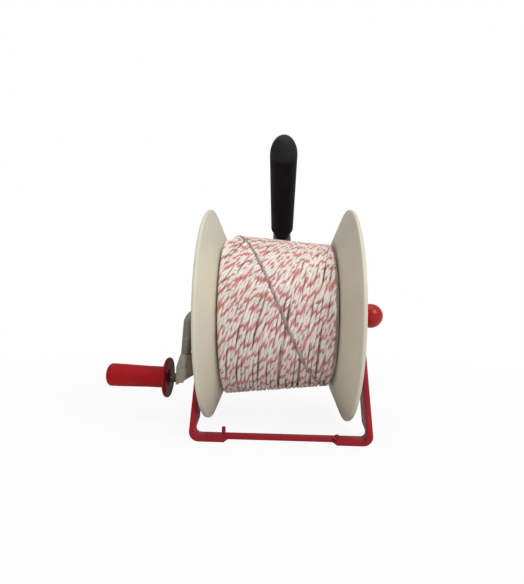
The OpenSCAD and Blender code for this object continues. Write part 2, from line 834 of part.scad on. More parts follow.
module knob_insert() {
    color(steel) at_axle() difference() {
        x_bar(insert_x0, insert_x0 + insert_l, insert_r);
        x_bar(insert_x0 - cut, insert_x0 + insert_l + cut, stub_d / 2 + run_fit);
    }
}

stand_strap();
left_rear_plate();
right_rear_plate();
rear_crossbar();
frame_bolts();
frame_nuts();
axle_bushes();
handle_stem();
stem_bolts();
stem_nuts();
hand_grip();
wire_pegs();
brake_washer();
axle_crank();
drum_barrel();
left_flange();
right_flange();
flange_screws();
drive_pin();
wire_core();
wire_winding();
crank_bracket();
bracket_rivet();
crank_spindle();
spindle_nut();
crank_grip();
crank_grip_cap();
brake_knob();
knob_insert();
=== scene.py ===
"""Dresses the electric fence reel: wound polywire, moulded drum, painted stand, crank, grips and studio."""
import json
import math

import bmesh
import bpy
import numpy as np
from mathutils import Matrix, Vector


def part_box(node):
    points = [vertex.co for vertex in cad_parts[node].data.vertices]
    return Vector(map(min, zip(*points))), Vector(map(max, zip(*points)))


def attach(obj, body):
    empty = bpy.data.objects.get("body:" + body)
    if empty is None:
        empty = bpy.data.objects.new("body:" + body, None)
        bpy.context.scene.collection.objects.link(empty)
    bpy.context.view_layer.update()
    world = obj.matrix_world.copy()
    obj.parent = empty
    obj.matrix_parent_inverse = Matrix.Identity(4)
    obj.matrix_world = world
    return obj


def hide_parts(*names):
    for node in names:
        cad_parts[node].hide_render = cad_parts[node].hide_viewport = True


bl_info = {
    "name": "Electric fence reel",
    "version": (1, 0, 0),
    "blender": (4, 5, 0),
    "location": "View3D > Sidebar > Fence reel",
    "description": "Builds the visible pieces of a hand-cranked electric fence reel on its CAD frame",
    "category": "Object",
}

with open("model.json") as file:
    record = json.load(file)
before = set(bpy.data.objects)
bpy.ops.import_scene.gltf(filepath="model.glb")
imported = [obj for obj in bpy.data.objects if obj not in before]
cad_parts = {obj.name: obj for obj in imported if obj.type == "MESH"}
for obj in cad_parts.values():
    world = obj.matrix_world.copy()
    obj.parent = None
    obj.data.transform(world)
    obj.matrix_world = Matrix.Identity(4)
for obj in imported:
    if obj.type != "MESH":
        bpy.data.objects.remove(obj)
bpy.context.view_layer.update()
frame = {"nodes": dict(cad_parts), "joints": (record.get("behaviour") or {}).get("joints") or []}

MM = 0.001
FULL_TURN = 2 * math.pi
QUARTER = math.pi / 2


def moved(x, y, z):
    """Shift by millimetres."""
    return Matrix.Translation(Vector((x, y, z)) * MM)


def turned(angle, axis):
    """Turn about one axis."""
    return Matrix.Rotation(angle, 4, axis)


JOINTS = {j["name"]: j for j in frame["joints"]}
AXLE = Vector(JOINTS["drum_spin"]["pos_m"])
AT_AXLE = Matrix.Translation(AXLE)
ALONG_X = turned(QUARTER, "Y")
GRIP_JOINT = JOINTS["crank_grip_spin"]
SPINDLE = (Matrix.Translation(Vector(GRIP_JOINT["pos_m"]))
           @ turned(QUARTER - math.asin(GRIP_JOINT["axis"][2]), "Y"))
TO_SPINDLE = SPINDLE.inverted()


def span(node, axis):
    """Lowest and highest place of a CAD node on one axis, in millimetres from the axle's middle."""
    low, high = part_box(node)
    return (low[axis] - AXLE[axis]) / MM, (high[axis] - AXLE[axis]) / MM


def middle(node, axis):
    """Middle of a CAD node on one axis, in millimetres from the axle's middle."""
    return sum(span(node, axis)) / 2


def reach(node):
    """Lowest and highest place of a CAD node along the grip's spindle, in millimetres from its joint."""
    places = [(TO_SPINDLE @ v.co).z / MM for v in frame["nodes"][node].data.vertices]
    return min(places), max(places)


# Measures that several pieces share: lengths in millimetres, angles in radians
FLANGE_R = span("right_flange", 2)[1]
HUB_X = span("right_flange", 0)[1]
WIND_X = span("wire_core", 0)[1]
FLANGE_X = WIND_X + 0.5
FRAME_MID = middle("stand_strap", 0)
FRAME_HALF = span("stand_strap", 0)[1] - FRAME_MID
ARM_LEAN = math.radians(54.0)
GRIP_RISE = math.radians(30.0)
BORE_FIT = 0.05


# Settings

def number_prop(name, description, default, **more):
    """Setting that is a number."""
    return bpy.props.FloatProperty(name=name, description=description, default=default, **more)


def count_prop(name, description, default, least):
    """Setting that is a whole number."""
    return bpy.props.IntProperty(name=name, description=description, default=default, min=least)


def colour_prop(name, description, default):
    """Setting that is a colour."""
    return bpy.props.FloatVectorProperty(
        name=name, description=description, subtype="COLOR", size=3, default=default)


class ReelSizes(bpy.types.PropertyGroup):
    """Sizes of the visible pieces, in millimetres."""

    flange_radius: number_prop("Flange radius", "Radius of the flange rims", FLANGE_R, min=50.0)
    flat_radius: number_prop("Flat radius", "Radius of the flat part of the flanges", 78.0, min=40.0)
    flange_wall: number_prop("Flange wall", "Wall thickness of the flanges", 4.0, min=1.0)
    flare: number_prop("Flare", "How far the rims flare outwards", 13.0, min=0.0)
    rib_count: count_prop("Ribs", "Number of ribs on each flange", 8, 3)
    wire_diameter: number_prop("Wire diameter", "Diameter of the twisted polywire", 4.0, min=1.0)
    twist_length: number_prop("Twist length", "Length of one full twist of the polywire", 16.0, min=2.0)
    wound_left: number_prop(
        "Wound radius, crank end", "Outer radius of the wound wire at the crank's end", 84.5, min=40.0)
    wound_right: number_prop(
        "Wound radius, far end", "Outer radius of the wound wire at the far end", 74.0, min=40.0)
    turns: count_prop("Turns", "Number of turns in one layer of wire", 24, 4)
    edge_round: number_prop("Edge rounding", "Rounding of the steel strip's edges", 0.6, min=0.05)


class ReelColours(bpy.types.PropertyGroup):
    """Colours of the finishes."""

    paint: colour_prop("Paint", "Red paint of the stand", (0.285, 0.015, 0.025))
    plastic: colour_prop("Red plastic", "Red plastic of the crank grip and ball", (0.36, 0.0065, 0.0105))
    drum: colour_prop("Drum", "Cream plastic of the drum", (0.585, 0.545, 0.435))
    wire: colour_prop("Polywire", "Pale strands of the polywire", (0.81, 0.735, 0.66))
    tracer: colour_prop("Tracer", "Red strand of the polywire", (0.50, 0.10, 0.105))
    # Darker copy of the wire colour: painted shade on the crossing strand
    soiled: colour_prop("Soiled polywire", "Pale strands of the crossing wire", (0.36, 0.31, 0.27))
    zinc: colour_prop("Zinc", "Zinc plating of the crank and handle stem", (0.29, 0.28, 0.225))
    steel: colour_prop("Steel", "Bright steel fasteners", (0.58, 0.58, 0.56))
    rubber: colour_prop("Rubber", "Black rubber of the hand grip", (0.0045, 0.0045, 0.0048))
    nylon: colour_prop("Nylon", "Nylon of the axle bushes", (0.70, 0.69, 0.63))


class StageSettings(bpy.types.PropertyGroup):
    """Camera and light."""

    distance: number_prop("Distance", "Distance of the camera from the axle", 0.461, unit="LENGTH")
    elevation: number_prop(
        "Elevation", "Height of the camera above the axle", math.radians(2.2), subtype="ANGLE")
    roll: number_prop("Roll", "Turn of the camera about its own axis", math.radians(0.8), subtype="ANGLE")
    pan: number_prop("Pan", "Turn of the camera to its left", math.radians(3.0), subtype="ANGLE")
    key_power: number_prop("Key light", "Power of the large soft light", 14.0, unit="POWER")
    fill_power: number_prop("Top light", "Power of the light overhead", 6.0, unit="POWER")
    glint_power: number_prop(
        "Glint light", "Power of the small light that makes the highlights", 0.6, unit="POWER")
    sky: number_prop("Sky", "Strength of the even light from all round", 0.52, min=0.0)


class FenceReel(bpy.types.PropertyGroup):
    """All settings of the reel."""

    sizes: bpy.props.PointerProperty(type=ReelSizes)
    colours: bpy.props.PointerProperty(type=ReelColours)
    stage: bpy.props.PointerProperty(type=StageSettings)


# Node helpers

# Sockets of a mix node that blends colours: factor, first and second colour, result
MIX_INPUTS = (0, 6, 7)
MIX_RESULT = 2


def feed(tree, value, socket):
    """Links another node's socket to an input, or sets the input to a plain value."""
    if isinstance(value, bpy.types.NodeSocket):
        tree.links.new(value, socket)
    else:
        socket.default_value = value


def add_node(tree, kind, inputs=None, **settings):
    """New node with its settings; its inputs, by name or number, are sockets or plain values."""
    node = tree.nodes.new(kind)
    for key, value in settings.items():
        setattr(node, key, value)
    for key, value in (inputs or {}).items():
        feed(tree, value, node.inputs[key])
    return node


def math_node(tree, operation, *values):
    """Result of a math node on sockets or numbers."""
    return add_node(tree, "ShaderNodeMath", dict(enumerate(values)), operation=operation).outputs[0]


def ramp(tree, source, low, high):
    """Smooth step of a value from 0 at low to 1 at high."""
    ends = {"Value": source, "From Min": low, "From Max": high}
    return add_node(tree, "ShaderNodeMapRange", ends, interpolation_type="SMOOTHSTEP").outputs["Result"]


def span_value(tree, source, low, high):
    """Value from 0 to 1 stretched to low and high."""
    ends = {"Value": source, "To Min": low, "To Max": high}
    return add_node(tree, "ShaderNodeMapRange", ends).outputs["Result"]


def mix_colour(tree, factor, first, second):
    """Colour mixed by a factor; colours are sockets or tuples."""
    first, second = ((*c, 1.0) if isinstance(c, tuple) else c for c in (first, second))
    inputs = dict(zip(MIX_INPUTS, (factor, first, second)))
    return add_node(tree, "ShaderNodeMix", inputs, data_type="RGBA").outputs[MIX_RESULT]


def shade(colour, factor):
    """Colour made lighter or darker."""
    return tuple(min(1.0, c * factor) for c in colour)


def new_tree(name, kind, inputs, outputs):
    """Node group with named sockets: the tree, what it is given, its results and its inputs' identifiers."""
    tree = bpy.data.node_groups.new(name, kind)
    ids = {}
    for label, sort, value in inputs:
        socket = tree.interface.new_socket(label, in_out="INPUT", socket_type="NodeSocket" + sort)
        if value is not None:
            socket.default_value = value
        ids[label] = socket.identifier
    for label, sort in outputs:
        tree.interface.new_socket(label, in_out="OUTPUT", socket_type="NodeSocket" + sort)
    given, result = tree.nodes.new("NodeGroupInput").outputs, tree.nodes.new("NodeGroupOutput").inputs
    return tree, given, result, ids


SHARED = {}


def shared(maker):
    """Result of a maker of node groups, made once."""
    if maker not in SHARED:
        SHARED[maker] = maker()
    return SHARED[maker]


# Finishes

def surface_grain():
    """Fine grain of a moulded or painted surface, with slow patches under it."""
    tree, given, result, _ = new_tree(
        "Surface grain", "ShaderNodeTree",
        [("Vector", "Vector", None), ("Grain size", "Float", 900.0), ("Patch size", "Float", 30.0)],
        [("Grain", "Float"), ("Patches", "Float")])
    fine, slow = (add_node(tree, "ShaderNodeTexNoise", {
        "Vector": given["Vector"], "Scale": given[size], "Detail": detail, "Roughness": rough}).outputs[0]
        for size, detail, rough in (("Grain size", 3.0, 0.6), ("Patch size", 4.0, 0.55)))
    feed(tree, fine, result["Grain"])
    feed(tree, ramp(tree, slow, 0.32, 0.68), result["Patches"])
    return tree


def handling_scuffs():
    """Short thin scratches in patches, as handling leaves them."""
    tree, given, result, _ = new_tree(
        "Handling scuffs", "ShaderNodeTree",
        [("Vector", "Vector", None), ("Scratch size", "Float", 160.0), ("Spread", "Float", 0.5)],
        [("Scuffs", "Float")])
    lines = []
    for turn, stretch in ((0.5, (1.0, 0.09, 0.4)), (-0.9, (0.12, 1.0, 0.5))):
        place = add_node(tree, "ShaderNodeMapping", {
            "Vector": given["Vector"], "Rotation": (turn, turn * 0.7, turn * 1.3), "Scale": stretch})
        noise = add_node(tree, "ShaderNodeTexNoise", {
            "Vector": place.outputs[0], "Scale": given["Scratch size"], "Detail": 2.0, "Roughness": 0.7})
        lines.append(ramp(tree, noise.outputs[0], 0.64, 0.74))
    patch = add_node(tree, "ShaderNodeTexNoise", {"Vector": given["Vector"], "Scale": 22.0, "Detail": 2.0})
    where = math_node(tree, "GREATER_THAN", patch.outputs[0], given["Spread"])
    feed(tree, math_node(tree, "MULTIPLY", math_node(tree, "MAXIMUM", *lines), where), result["Scuffs"])
    return tree


class Finish:
    """A material with its shader and object coordinates, and the colours laid over its base."""

    def __init__(self, name, **plain):
        self.material = bpy.data.materials.new(name)
        self.material.use_nodes = True
        self.tree = self.material.node_tree
        self.shader = self.tree.nodes["Principled BSDF"]
        for key, value in plain.items():
            self.shader.inputs[key.replace("_", " ")].default_value = value
        self.place = self.tree.nodes.new("ShaderNodeTexCoord").outputs["Object"]

    def effect(self, maker, **values):
        """Outputs of a shared effect on object coordinates."""
        inputs = {"Vector": self.place, **{key.replace("_", " "): value for key, value in values.items()}}
        return add_node(self.tree, "ShaderNodeGroup", inputs, node_tree=shared(maker)).outputs

    def base(self, colour, dark, light, **sizes):
        """Base colour that goes from dark to light in slow patches, with a fine grain."""
        self.grain = self.effect(surface_grain, **sizes)
        self.colour = mix_colour(self.tree, self.grain["Patches"], shade(colour, dark), shade(colour, light))

    def scuffs(self, size, spread):
        """Mask of handling scuffs."""
        return self.effect(handling_scuffs, Scratch_size=size, Spread=spread)["Scuffs"]

    def mark(self, name):
        """Value stored on the mesh under a name."""
        return add_node(self.tree, "ShaderNodeAttribute", attribute_name=name).outputs["Fac"]

    def times(self, first, second):
        """Product of two values."""
        return math_node(self.tree, "MULTIPLY", first, second)

    def vary(self, low, high, by="Patches"):
        """Value that goes from low to high with the patches or the grain."""
        return span_value(self.tree, self.grain[by], low, high)

    def over(self, factor, colour):
        """Lays another colour over what is there."""
        self.colour = mix_colour(self.tree, factor, self.colour, colour)

    def done(self, roughness, depth, strength):
        """Connects colour, roughness and the grain's relief, and returns the material."""
        relief = {"Height": self.grain["Grain"], "Distance": depth, "Strength": strength}
        bump = add_node(self.tree, "ShaderNodeBump", relief).outputs[0]
        for name, value in (("Base Color", self.colour), ("Roughness", roughness), ("Normal", bump)):
            feed(self.tree, value, self.shader.inputs[name])
        return self.material


def red_paint(colour):
    """Red paint on steel strip, with a faint orange peel and a few scuffs."""
    f = Finish("red_paint", Coat_Weight=0.03, Coat_Roughness=0.18, IOR=1.5, Specular_IOR_Level=0.08)
    f.base(colour, dark=0.9, light=1.1, Grain_size=420.0, Patch_size=18.0)
    scuffs = f.scuffs(size=240.0, spread=0.56)
    f.over(f.times(scuffs, 0.35), (0.42, 0.12, 0.11))
    rough = math_node(f.tree, "ADD", f.vary(0.30, 0.42, "Grain"), f.times(scuffs, 0.2))
    return f.done(rough, depth=0.00012, strength=0.5)


def red_plastic(name, colour, gloss):
    """Moulded red plastic with a fine grain, scuffed patches and painted shade where the mesh is marked."""
    f = Finish(name, IOR=1.47, Specular_IOR_Level=0.13, Coat_Weight=gloss, Coat_Roughness=0.12)
    f.base(colour, dark=0.9, light=1.08, Grain_size=1300.0, Patch_size=45.0)
    f.over(f.times(f.scuffs(size=300.0, spread=0.54), 0.25), (0.5, 0.09, 0.08))
    # Painted shade: near-black red over the marked places, the back of the crank grip's collar
    f.over(f.times(f.mark("grease"), f.vary(0.85, 1.0)), (0.045, 0.003, 0.006))
    return f.done(f.vary(0.42, 0.54), depth=0.00006, strength=0.5)


def cream_plastic(colour):
    """Cream moulded plastic, satin, slightly darker where dust has settled."""
    f = Finish("cream_plastic", IOR=1.47)
    f.base(colour, dark=0.94, light=1.04, Grain_size=1000.0, Patch_size=14.0)
    f.over(f.times(f.scuffs(size=130.0, spread=0.55), 0.22), (0.40, 0.36, 0.28))
    return f.done(f.vary(0.42, 0.52), depth=0.00008, strength=0.45)


def zinc_plate(name, colour, rust_from=None, rust_to=None):
    """Zinc-plated steel with cloudy spangle and fine marks; painted shade with a painted red reflection of
    the frame sets in between two shares of the crank bracket's length, towards the flange."""
    f = Finish(name, Metallic=0.45, Specular_IOR_Level=0.3)
    f.base(colour, dark=0.78, light=1.12, Grain_size=700.0, Patch_size=70.0)
    f.over(f.times(f.scuffs(size=420.0, spread=0.44), 0.4), (0.6, 0.59, 0.55))
    if rust_to:
        low, high = (corner.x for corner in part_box("crank_bracket"))
        x = add_node(f.tree, "ShaderNodeSeparateXYZ", {0: f.place}).outputs["X"]
        rust = ramp(f.tree, x, low + rust_from * (high - low), low + rust_to * (high - low))
        # Painted shade with a painted red reflection of the frame, over the bracket's part next to the flange
        f.over(f.times(rust, f.vary(0.95, 0.7)), (0.125, 0.066, 0.045))
    return f.done(f.vary(0.5, 0.64), depth=0.00005, strength=0.4)


def bright_steel(colour):
    """Bright steel of bolts, nuts and pins, with fine turned marks."""
    f = Finish("bright_steel", Metallic=1.0)
    f.base(colour, dark=0.8, light=1.1, Grain_size=1800.0, Patch_size=120.0)
    return f.done(f.vary(0.26, 0.40), depth=0.00003, strength=0.5)


def black_rubber(colour):
    """Black rubber with a fine pebbled skin, greyer where the mesh is marked: painted light on the grip's end
    and a lighter band round its lip.
    """
    f = Finish("black_rubber", IOR=1.5, Specular_IOR_Level=0.07)
    f.base(colour, dark=0.8, light=1.6, Grain_size=1500.0, Patch_size=60.0)
    # Grey over the marked places: painted light on the grip's end, and a lighter band round its lip
    f.over(f.times(f.mark("rubbed"), f.vary(0.8, 1.0)), (0.023, 0.023, 0.023))
    return f.done(f.vary(0.46, 0.60), depth=0.00012, strength=0.5)


def off_white_nylon(colour):
    """Off-white nylon of the bushes."""
    f = Finish("off_white_nylon", IOR=1.53)
    f.base(colour, dark=0.9, light=1.0, Grain_size=1200.0, Patch_size=90.0)
    return f.done(f.vary(0.38, 0.5, "Grain"), depth=0.00005, strength=0.4)


def twisted_polywire(name, colour, tracer):
    """Polywire: pale twisted filaments with one red strand and painted shade in the grooves, from the rope's
    own attributes.
    """
    f = Finish(name, IOR=1.45, Sheen_Weight=0.15)
    f.base(colour, dark=0.92, light=1.05, Grain_size=1500.0, Patch_size=55.0)
    # Painted shade in the grooves between the strand's lobes
    f.over(f.times(f.mark("groove"), 0.45), shade(colour, 0.45))
    f.over(f.times(f.mark("tracer"), f.vary(0.75, 1.05, "Grain")), tracer)
    return f.done(f.vary(0.5, 0.7, "Grain"), depth=0.00015, strength=0.5)


# Each look's material slot, and its maker from the colour settings
LOOKS = {
    "paint": ("red_paint", lambda c: red_paint(tuple(c.paint))),
    "plastic": ("red_plastic", lambda c: red_plastic("red_plastic", tuple(c.plastic), gloss=0.0)),
    "gloss": ("red_plastic", lambda c: red_plastic("glossy_red_plastic", tuple(c.plastic), gloss=0.35)),
    "drum": ("cream_plastic", lambda c: cream_plastic(tuple(c.drum))),
    "zinc": ("zinc", lambda c: zinc_plate("zinc_plate", tuple(c.zinc))),
    # Lighter copy of zinc for the crank bracket and its rivet, which is painted light; painted shade and a
    # red reflection lie over its part next to the flange
    "stained": ("zinc", lambda c: zinc_plate(
        "stained_zinc", shade(c.zinc, 1.5), rust_from=0.38, rust_to=0.62)),
    # Darker copy of zinc for the crank spindle: painted shade next to the grip's collar
    "greased": ("zinc", lambda c: zinc_plate("greased_zinc", shade(c.zinc, 0.4))),
    "steel": ("steel", lambda c: bright_steel(tuple(c.steel))),
    "rubber": ("black_rubber", lambda c: black_rubber(tuple(c.rubber))),
    "nylon": ("nylon", lambda c: off_white_nylon(tuple(c.nylon))),
    "wire": ("polywire", lambda c: twisted_polywire("polywire", tuple(c.wire), tuple(c.tracer))),
    # Darker copy of the polywire for the crossing strand, with its tracer darkened too: painted shade
    "soiled": ("polywire", lambda c: twisted_polywire(
        "soiled_polywire", tuple(c.soiled), shade(c.tracer, 0.7))),
}
FINISHES = {}


def finish(look):
    """Material of a look, made when first asked for."""
    if look not in FINISHES:
        FINISHES[look] = LOOKS[look][1](bpy.context.scene.fence_reel.colours)
    return FINISHES[look]


# Mesh helpers

def new_object(name, data):
    """Object for some data, in the scene."""
    made = bpy.data.objects.new(name, data)
    bpy.context.scene.collection.objects.link(made)
    return made


def piece_from(bm, name, sharp=38.0, keep_normals=False):
    """Object from a bmesh: normals outward, smooth, with sharp edges past an angle in degrees."""
    if not keep_normals:
        bmesh.ops.recalc_face_normals(bm, faces=bm.faces)
    limit = math.radians(sharp)
    for face in bm.faces:
        face.smooth = True
    for edge in bm.edges:
        edge.smooth = not (len(edge.link_faces) == 2 and edge.calc_face_angle(0.0) > limit)
    mesh = bpy.data.meshes.new(name)
    bm.to_mesh(mesh)
    bm.free()
    return new_object(name, mesh)


def settle(piece, body, look, *nodes):
    """Gives a piece its finish and its body, and lets it stand for CAD nodes."""
    piece.data.materials.clear()
    piece.data.materials.append(finish(look))
    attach(piece, body)
    if nodes:
        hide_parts(*nodes)


def marked(piece, name, value_at):
    """Stores a value on every point of a piece, worked out from the point's place."""
    marks = piece.data.attributes.new(name, "FLOAT", "POINT")
    for vertex, mark in zip(piece.data.vertices, marks.data):
        mark.value = min(1.0, max(0.0, value_at(vertex.co)))
    return piece


def filleted(points, steps=4):
    """Profile of (radius, place, fillet) points with its corners rounded."""
    line = []
    for i, point in enumerate(points):
        corner = Vector(point[:2])
        fillet = point[2] if len(point) > 2 else 0.0
        if fillet <= 0.0 or i in (0, len(points) - 1):
            line.append(corner)
            continue
        back = Vector(points[i - 1][:2]) - corner
        on = Vector(points[i + 1][:2]) - corner
        room = min(back.length, on.length) * 0.49
        back.normalize()
        on.normalize()
        half = back.angle(on) / 2
        cut = min(fillet / math.tan(half), room)
        radius = cut * math.tan(half)
        centre = corner + (back + on).normalized() * (radius / math.sin(half))
        first, second = corner + back * cut - centre, corner + on * cut - centre
        for k in range(steps + 1):
            line.append(centre + first.lerp(second, k / steps).normalized() * radius)
    return line


def ring(sides, height, radius_at):
    """Points about Z at a height; the radius follows from the angle."""
    angles = [FULL_TURN * k / sides for k in range(sides)]
    return [Vector((radius_at(a) * math.cos(a), radius_at(a) * math.sin(a), height)) for a in angles]


def skin(bm, rings, place, closed=False, caps=False):
    """Joins rings of points in millimetres by faces; a ring of one point is a tip."""
    loops = [[bm.verts.new(place @ (point * MM)) for point in points] for points in rings]
    pairs = list(zip(loops, loops[1:]))
    if closed:
        pairs.append((loops[-1], loops[0]))
    for a, b in pairs:
        count = max(len(a), len(b))
        for k in range(count if count > 1 else 0):
            n = (k + 1) % count
            start = a if len(a) == 1 else [a[k], a[n]]
            bm.faces.new(start + (b if len(b) == 1 else [b[n], b[k]]))
    if caps:
        bm.faces.new(loops[0])
        bm.faces.new(loops[-1])


def lathe(bm, profile, place, segments, closed=False):
    """Turns a profile of (radius, height) points in millimetres about local Z and puts it in place."""
    tip = 1e-4
    rings = [ring(segments if radius > tip else 1, height, lambda a, r=radius: r)
             for radius, height in profile]
    skin(bm, rings, place, closed)


def lathed(name, profile, place, segments, closed=False, sharp=38.0):
    """Piece turned from a profile."""
    bm = bmesh.new()
    lathe(bm, profile, place, segments, closed)
    return piece_from(bm, name, sharp)


def softened(node, name, width):
    """Copy of a CAD node with merged faces and rounded edges."""
    same, flat, sharp = 2e-6, 0.6, 32.0
    bm = bmesh.new()
    bm.from_mesh(frame["nodes"][node].data)
    bmesh.ops.remove_doubles(bm, verts=bm.verts, dist=same)
    bmesh.ops.dissolve_limit(bm, angle_limit=math.radians(flat), verts=bm.verts, edges=bm.edges)
    edges = [e for e in bm.edges if e.is_manifold and e.calc_face_angle(0.0) > math.radians(sharp)]
    bmesh.ops.bevel(bm, geom=edges, offset=width * MM, offset_type="OFFSET", segments=2, profile=0.5,
                    affect="EDGES", clamp_overlap=True)
    return piece_from(bm, name, sharp)


def hexagon(bm, corner, height, bore=0.0):
    """Hexagonal head or nut from the floor up, with chamfered ends and an open or closed middle."""
    sides, chamfer, shrink = 48, 0.5, 0.88

    def outline(limit):
        def radius_at(angle):
            flat = math.cos(math.pi / 6) / math.cos((angle % (math.pi / 3)) - math.pi / 6)
            return corner * min(flat, limit)
        return radius_at

    rings = [ring(sides, z, outline(limit)) for z, limit in (
        (0.0, shrink), (chamfer, 1.0), (height - chamfer, 1.0), (height, shrink))]
    if bore:
        rings += [ring(sides, z, lambda a: bore) for z in (height, 0.0)]
    skin(bm, rings, Matrix.Identity(4), closed=bool(bore), caps=not bore)


def thread_profile(radius, start, end, pitch, depth):
    """Zigzag profile of a thread from one height to another."""
    steps = max(1, int(abs(end - start) / pitch))
    rise = (end - start) / steps
    return [point for i in range(steps)
            for point in ((radius, start + rise * i), (radius - depth, start + rise * (i + 0.5)))]


# Geometry Nodes

def finish_tree(tree, given, result, geometry):
    """Ends a tree in Realize Instances and Set Material."""
    real = add_node(tree, "GeometryNodeRealizeInstances", {0: geometry})
    paint = add_node(tree, "GeometryNodeSetMaterial", {
        "Geometry": real.outputs[0], "Material": given["Material"]})
    feed(tree, paint.outputs[0], result["Geometry"])


def guide_object(name, points, edges=()):
    """Object that holds the points a tree works on."""
    mesh = bpy.data.meshes.new(name + "_guide")
    mesh.from_pydata([tuple(p) for p in points], list(edges), [])
    return new_object(name + "_guide", mesh)


def run_tree(name, guide, maker, look, values):
    """Applies a tree to a guide object and returns the result as a plain mesh object."""
    tree, ids = shared(maker)
    modifier = guide.modifiers.new("make", "NODES")
    modifier.node_group = tree
    for label, value in {**values, "Material": finish(look)}.items():
        modifier[ids[label]] = value
    guide.update_tag()
    bpy.context.view_layer.update()
    mesh = bpy.data.meshes.new_from_object(guide.evaluated_get(bpy.context.evaluated_depsgraph_get()))
    mesh.name = name
    guide.modifiers.remove(modifier)
    piece = new_object(name, mesh)
    bpy.data.objects.remove(guide)
    return piece


def pattern_tree():
    """Tree that puts one pattern at every point, turned by the point's own attribute."""
    tree, given, result, ids = new_tree(
        "Pattern at places", "GeometryNodeTree",
        [("Geometry", "Geometry", None), ("Pattern", "Object", None), ("Material", "Material", None),
         ("Size", "Float", 1.0)], [("Geometry", "Geometry")])
    pattern = add_node(tree, "GeometryNodeObjectInfo", {"Object": given["Pattern"]},
                       transform_space="ORIGINAL")
    turn = add_node(tree, "GeometryNodeInputNamedAttribute", {"Name": "turn"}, data_type="FLOAT_VECTOR")
    euler = add_node(tree, "FunctionNodeEulerToRotation", {0: turn.outputs[0]})
    put = add_node(tree, "GeometryNodeInstanceOnPoints", {
        "Points": given["Geometry"], "Instance": pattern.outputs["Geometry"], "Rotation": euler.outputs[0],
        "Scale": given["Size"]})
    finish_tree(tree, given, result, put.outputs[0])
    return tree, ids


def repeated(name, pattern, places, look):
    """One mesh with a pattern at every place matrix."""
    guide = guide_object(name, [place.translation for place in places])
    turns = guide.data.attributes.new("turn", "FLOAT_VECTOR", "POINT")
    for turn, place in zip(turns.data, places):
        turn.vector = place.to_euler()
    piece = run_tree(name, guide, pattern_tree, look, {"Pattern": pattern, "Size": 1.0})
    bpy.data.objects.remove(pattern)
    return piece


def rope_tree():
    """Tree that twists a lobed strand along the guide's line, marks one lobe as the tracer and marks the
    grooves for painted shade.
    """
    tree, given, result, ids = new_tree(
        "Twisted polywire", "GeometryNodeTree",
        [("Geometry", "Geometry", None), ("Radius", "Float", 0.002), ("Lobes", "Float", 3.0),
         ("Lobe depth", "Float", 0.1), ("Twist length", "Float", 0.013), ("Sides", "Int", 9),
         ("Material", "Material", None)], [("Geometry", "Geometry")])

    def calc(operation, *values):
        return math_node(tree, operation, *values)

    line = add_node(tree, "GeometryNodeMeshToCurve", {0: given["Geometry"]})
    length = tree.nodes.new("GeometryNodeSplineParameter").outputs["Length"]
    # The twist is uneven: up to so many turns more, at so many changes per metre
    more_turns, changes = 1.6, 26.0
    uneven = add_node(tree, "ShaderNodeTexNoise", noise_dimensions="1D")
    for label, value in (("W", length), ("Scale", changes), ("Detail", 1.0)):
        feed(tree, value, uneven.inputs[label])
    turns = calc("ADD", calc("DIVIDE", length, given["Twist length"]),
                 calc("MULTIPLY", uneven.outputs[0], more_turns))
    tilt = add_node(tree, "GeometryNodeSetCurveTilt", {
        0: line.outputs[0], "Tilt": calc("MULTIPLY", turns, FULL_TURN)})
    circle = add_node(tree, "GeometryNodeCurvePrimitiveCircle", {
        "Resolution": given["Sides"], "Radius": given["Radius"]})
    around = tree.nodes.new("GeometryNodeSplineParameter")
    angle = calc("MULTIPLY", around.outputs["Factor"], FULL_TURN)
    wave = calc("COSINE", calc("MULTIPLY", angle, given["Lobes"]))
    # Groove depth between lobes: it shapes the lobes and is stored for painted shade
    groove = calc("MULTIPLY", calc("SUBTRACT", 1.0, wave), 0.5)
    dip = calc("SUBTRACT", 1.0, calc("MULTIPLY", groove, given["Lobe depth"]))
    spot = tree.nodes.new("GeometryNodeInputPosition")
    scale = add_node(tree, "ShaderNodeVectorMath", {0: spot.outputs[0], "Scale": dip}, operation="SCALE")
    marks = {"Tracer": ramp(tree, calc("COSINE", angle), 0.35, 0.88), "Groove": groove}
    keep = tree.nodes.new("GeometryNodeCaptureAttribute")
    for label in marks:
        keep.capture_items.new("FLOAT", label)
    for label, value in {"Geometry": circle.outputs[0], **marks}.items():
        feed(tree, value, keep.inputs[label])
    shape = add_node(tree, "GeometryNodeSetPosition", {
        "Geometry": keep.outputs["Geometry"], "Position": scale.outputs[0]})
    geometry = add_node(tree, "GeometryNodeCurveToMesh", {
        "Curve": tilt.outputs[0], "Profile Curve": shape.outputs[0], "Fill Caps": True}).outputs[0]
    for label in marks:
        store = add_node(tree, "GeometryNodeStoreNamedAttribute", data_type="FLOAT", domain="POINT")
        for key, value in (("Geometry", geometry), ("Name", label.lower()), ("Value", keep.outputs[label])):
            feed(tree, value, store.inputs[key])
        geometry = store.outputs[0]
    soft = add_node(tree, "GeometryNodeSetShadeSmooth", {"Geometry": geometry})
    finish_tree(tree, given, result, soft.outputs[0])
    return tree, ids


def rope(name, points, look, values):
    """Rope mesh along points in metres."""
    guide = guide_object(name, points, zip(range(len(points) - 1), range(1, len(points))))
    return run_tree(name, guide, rope_tree, look, values)


# Wound wire

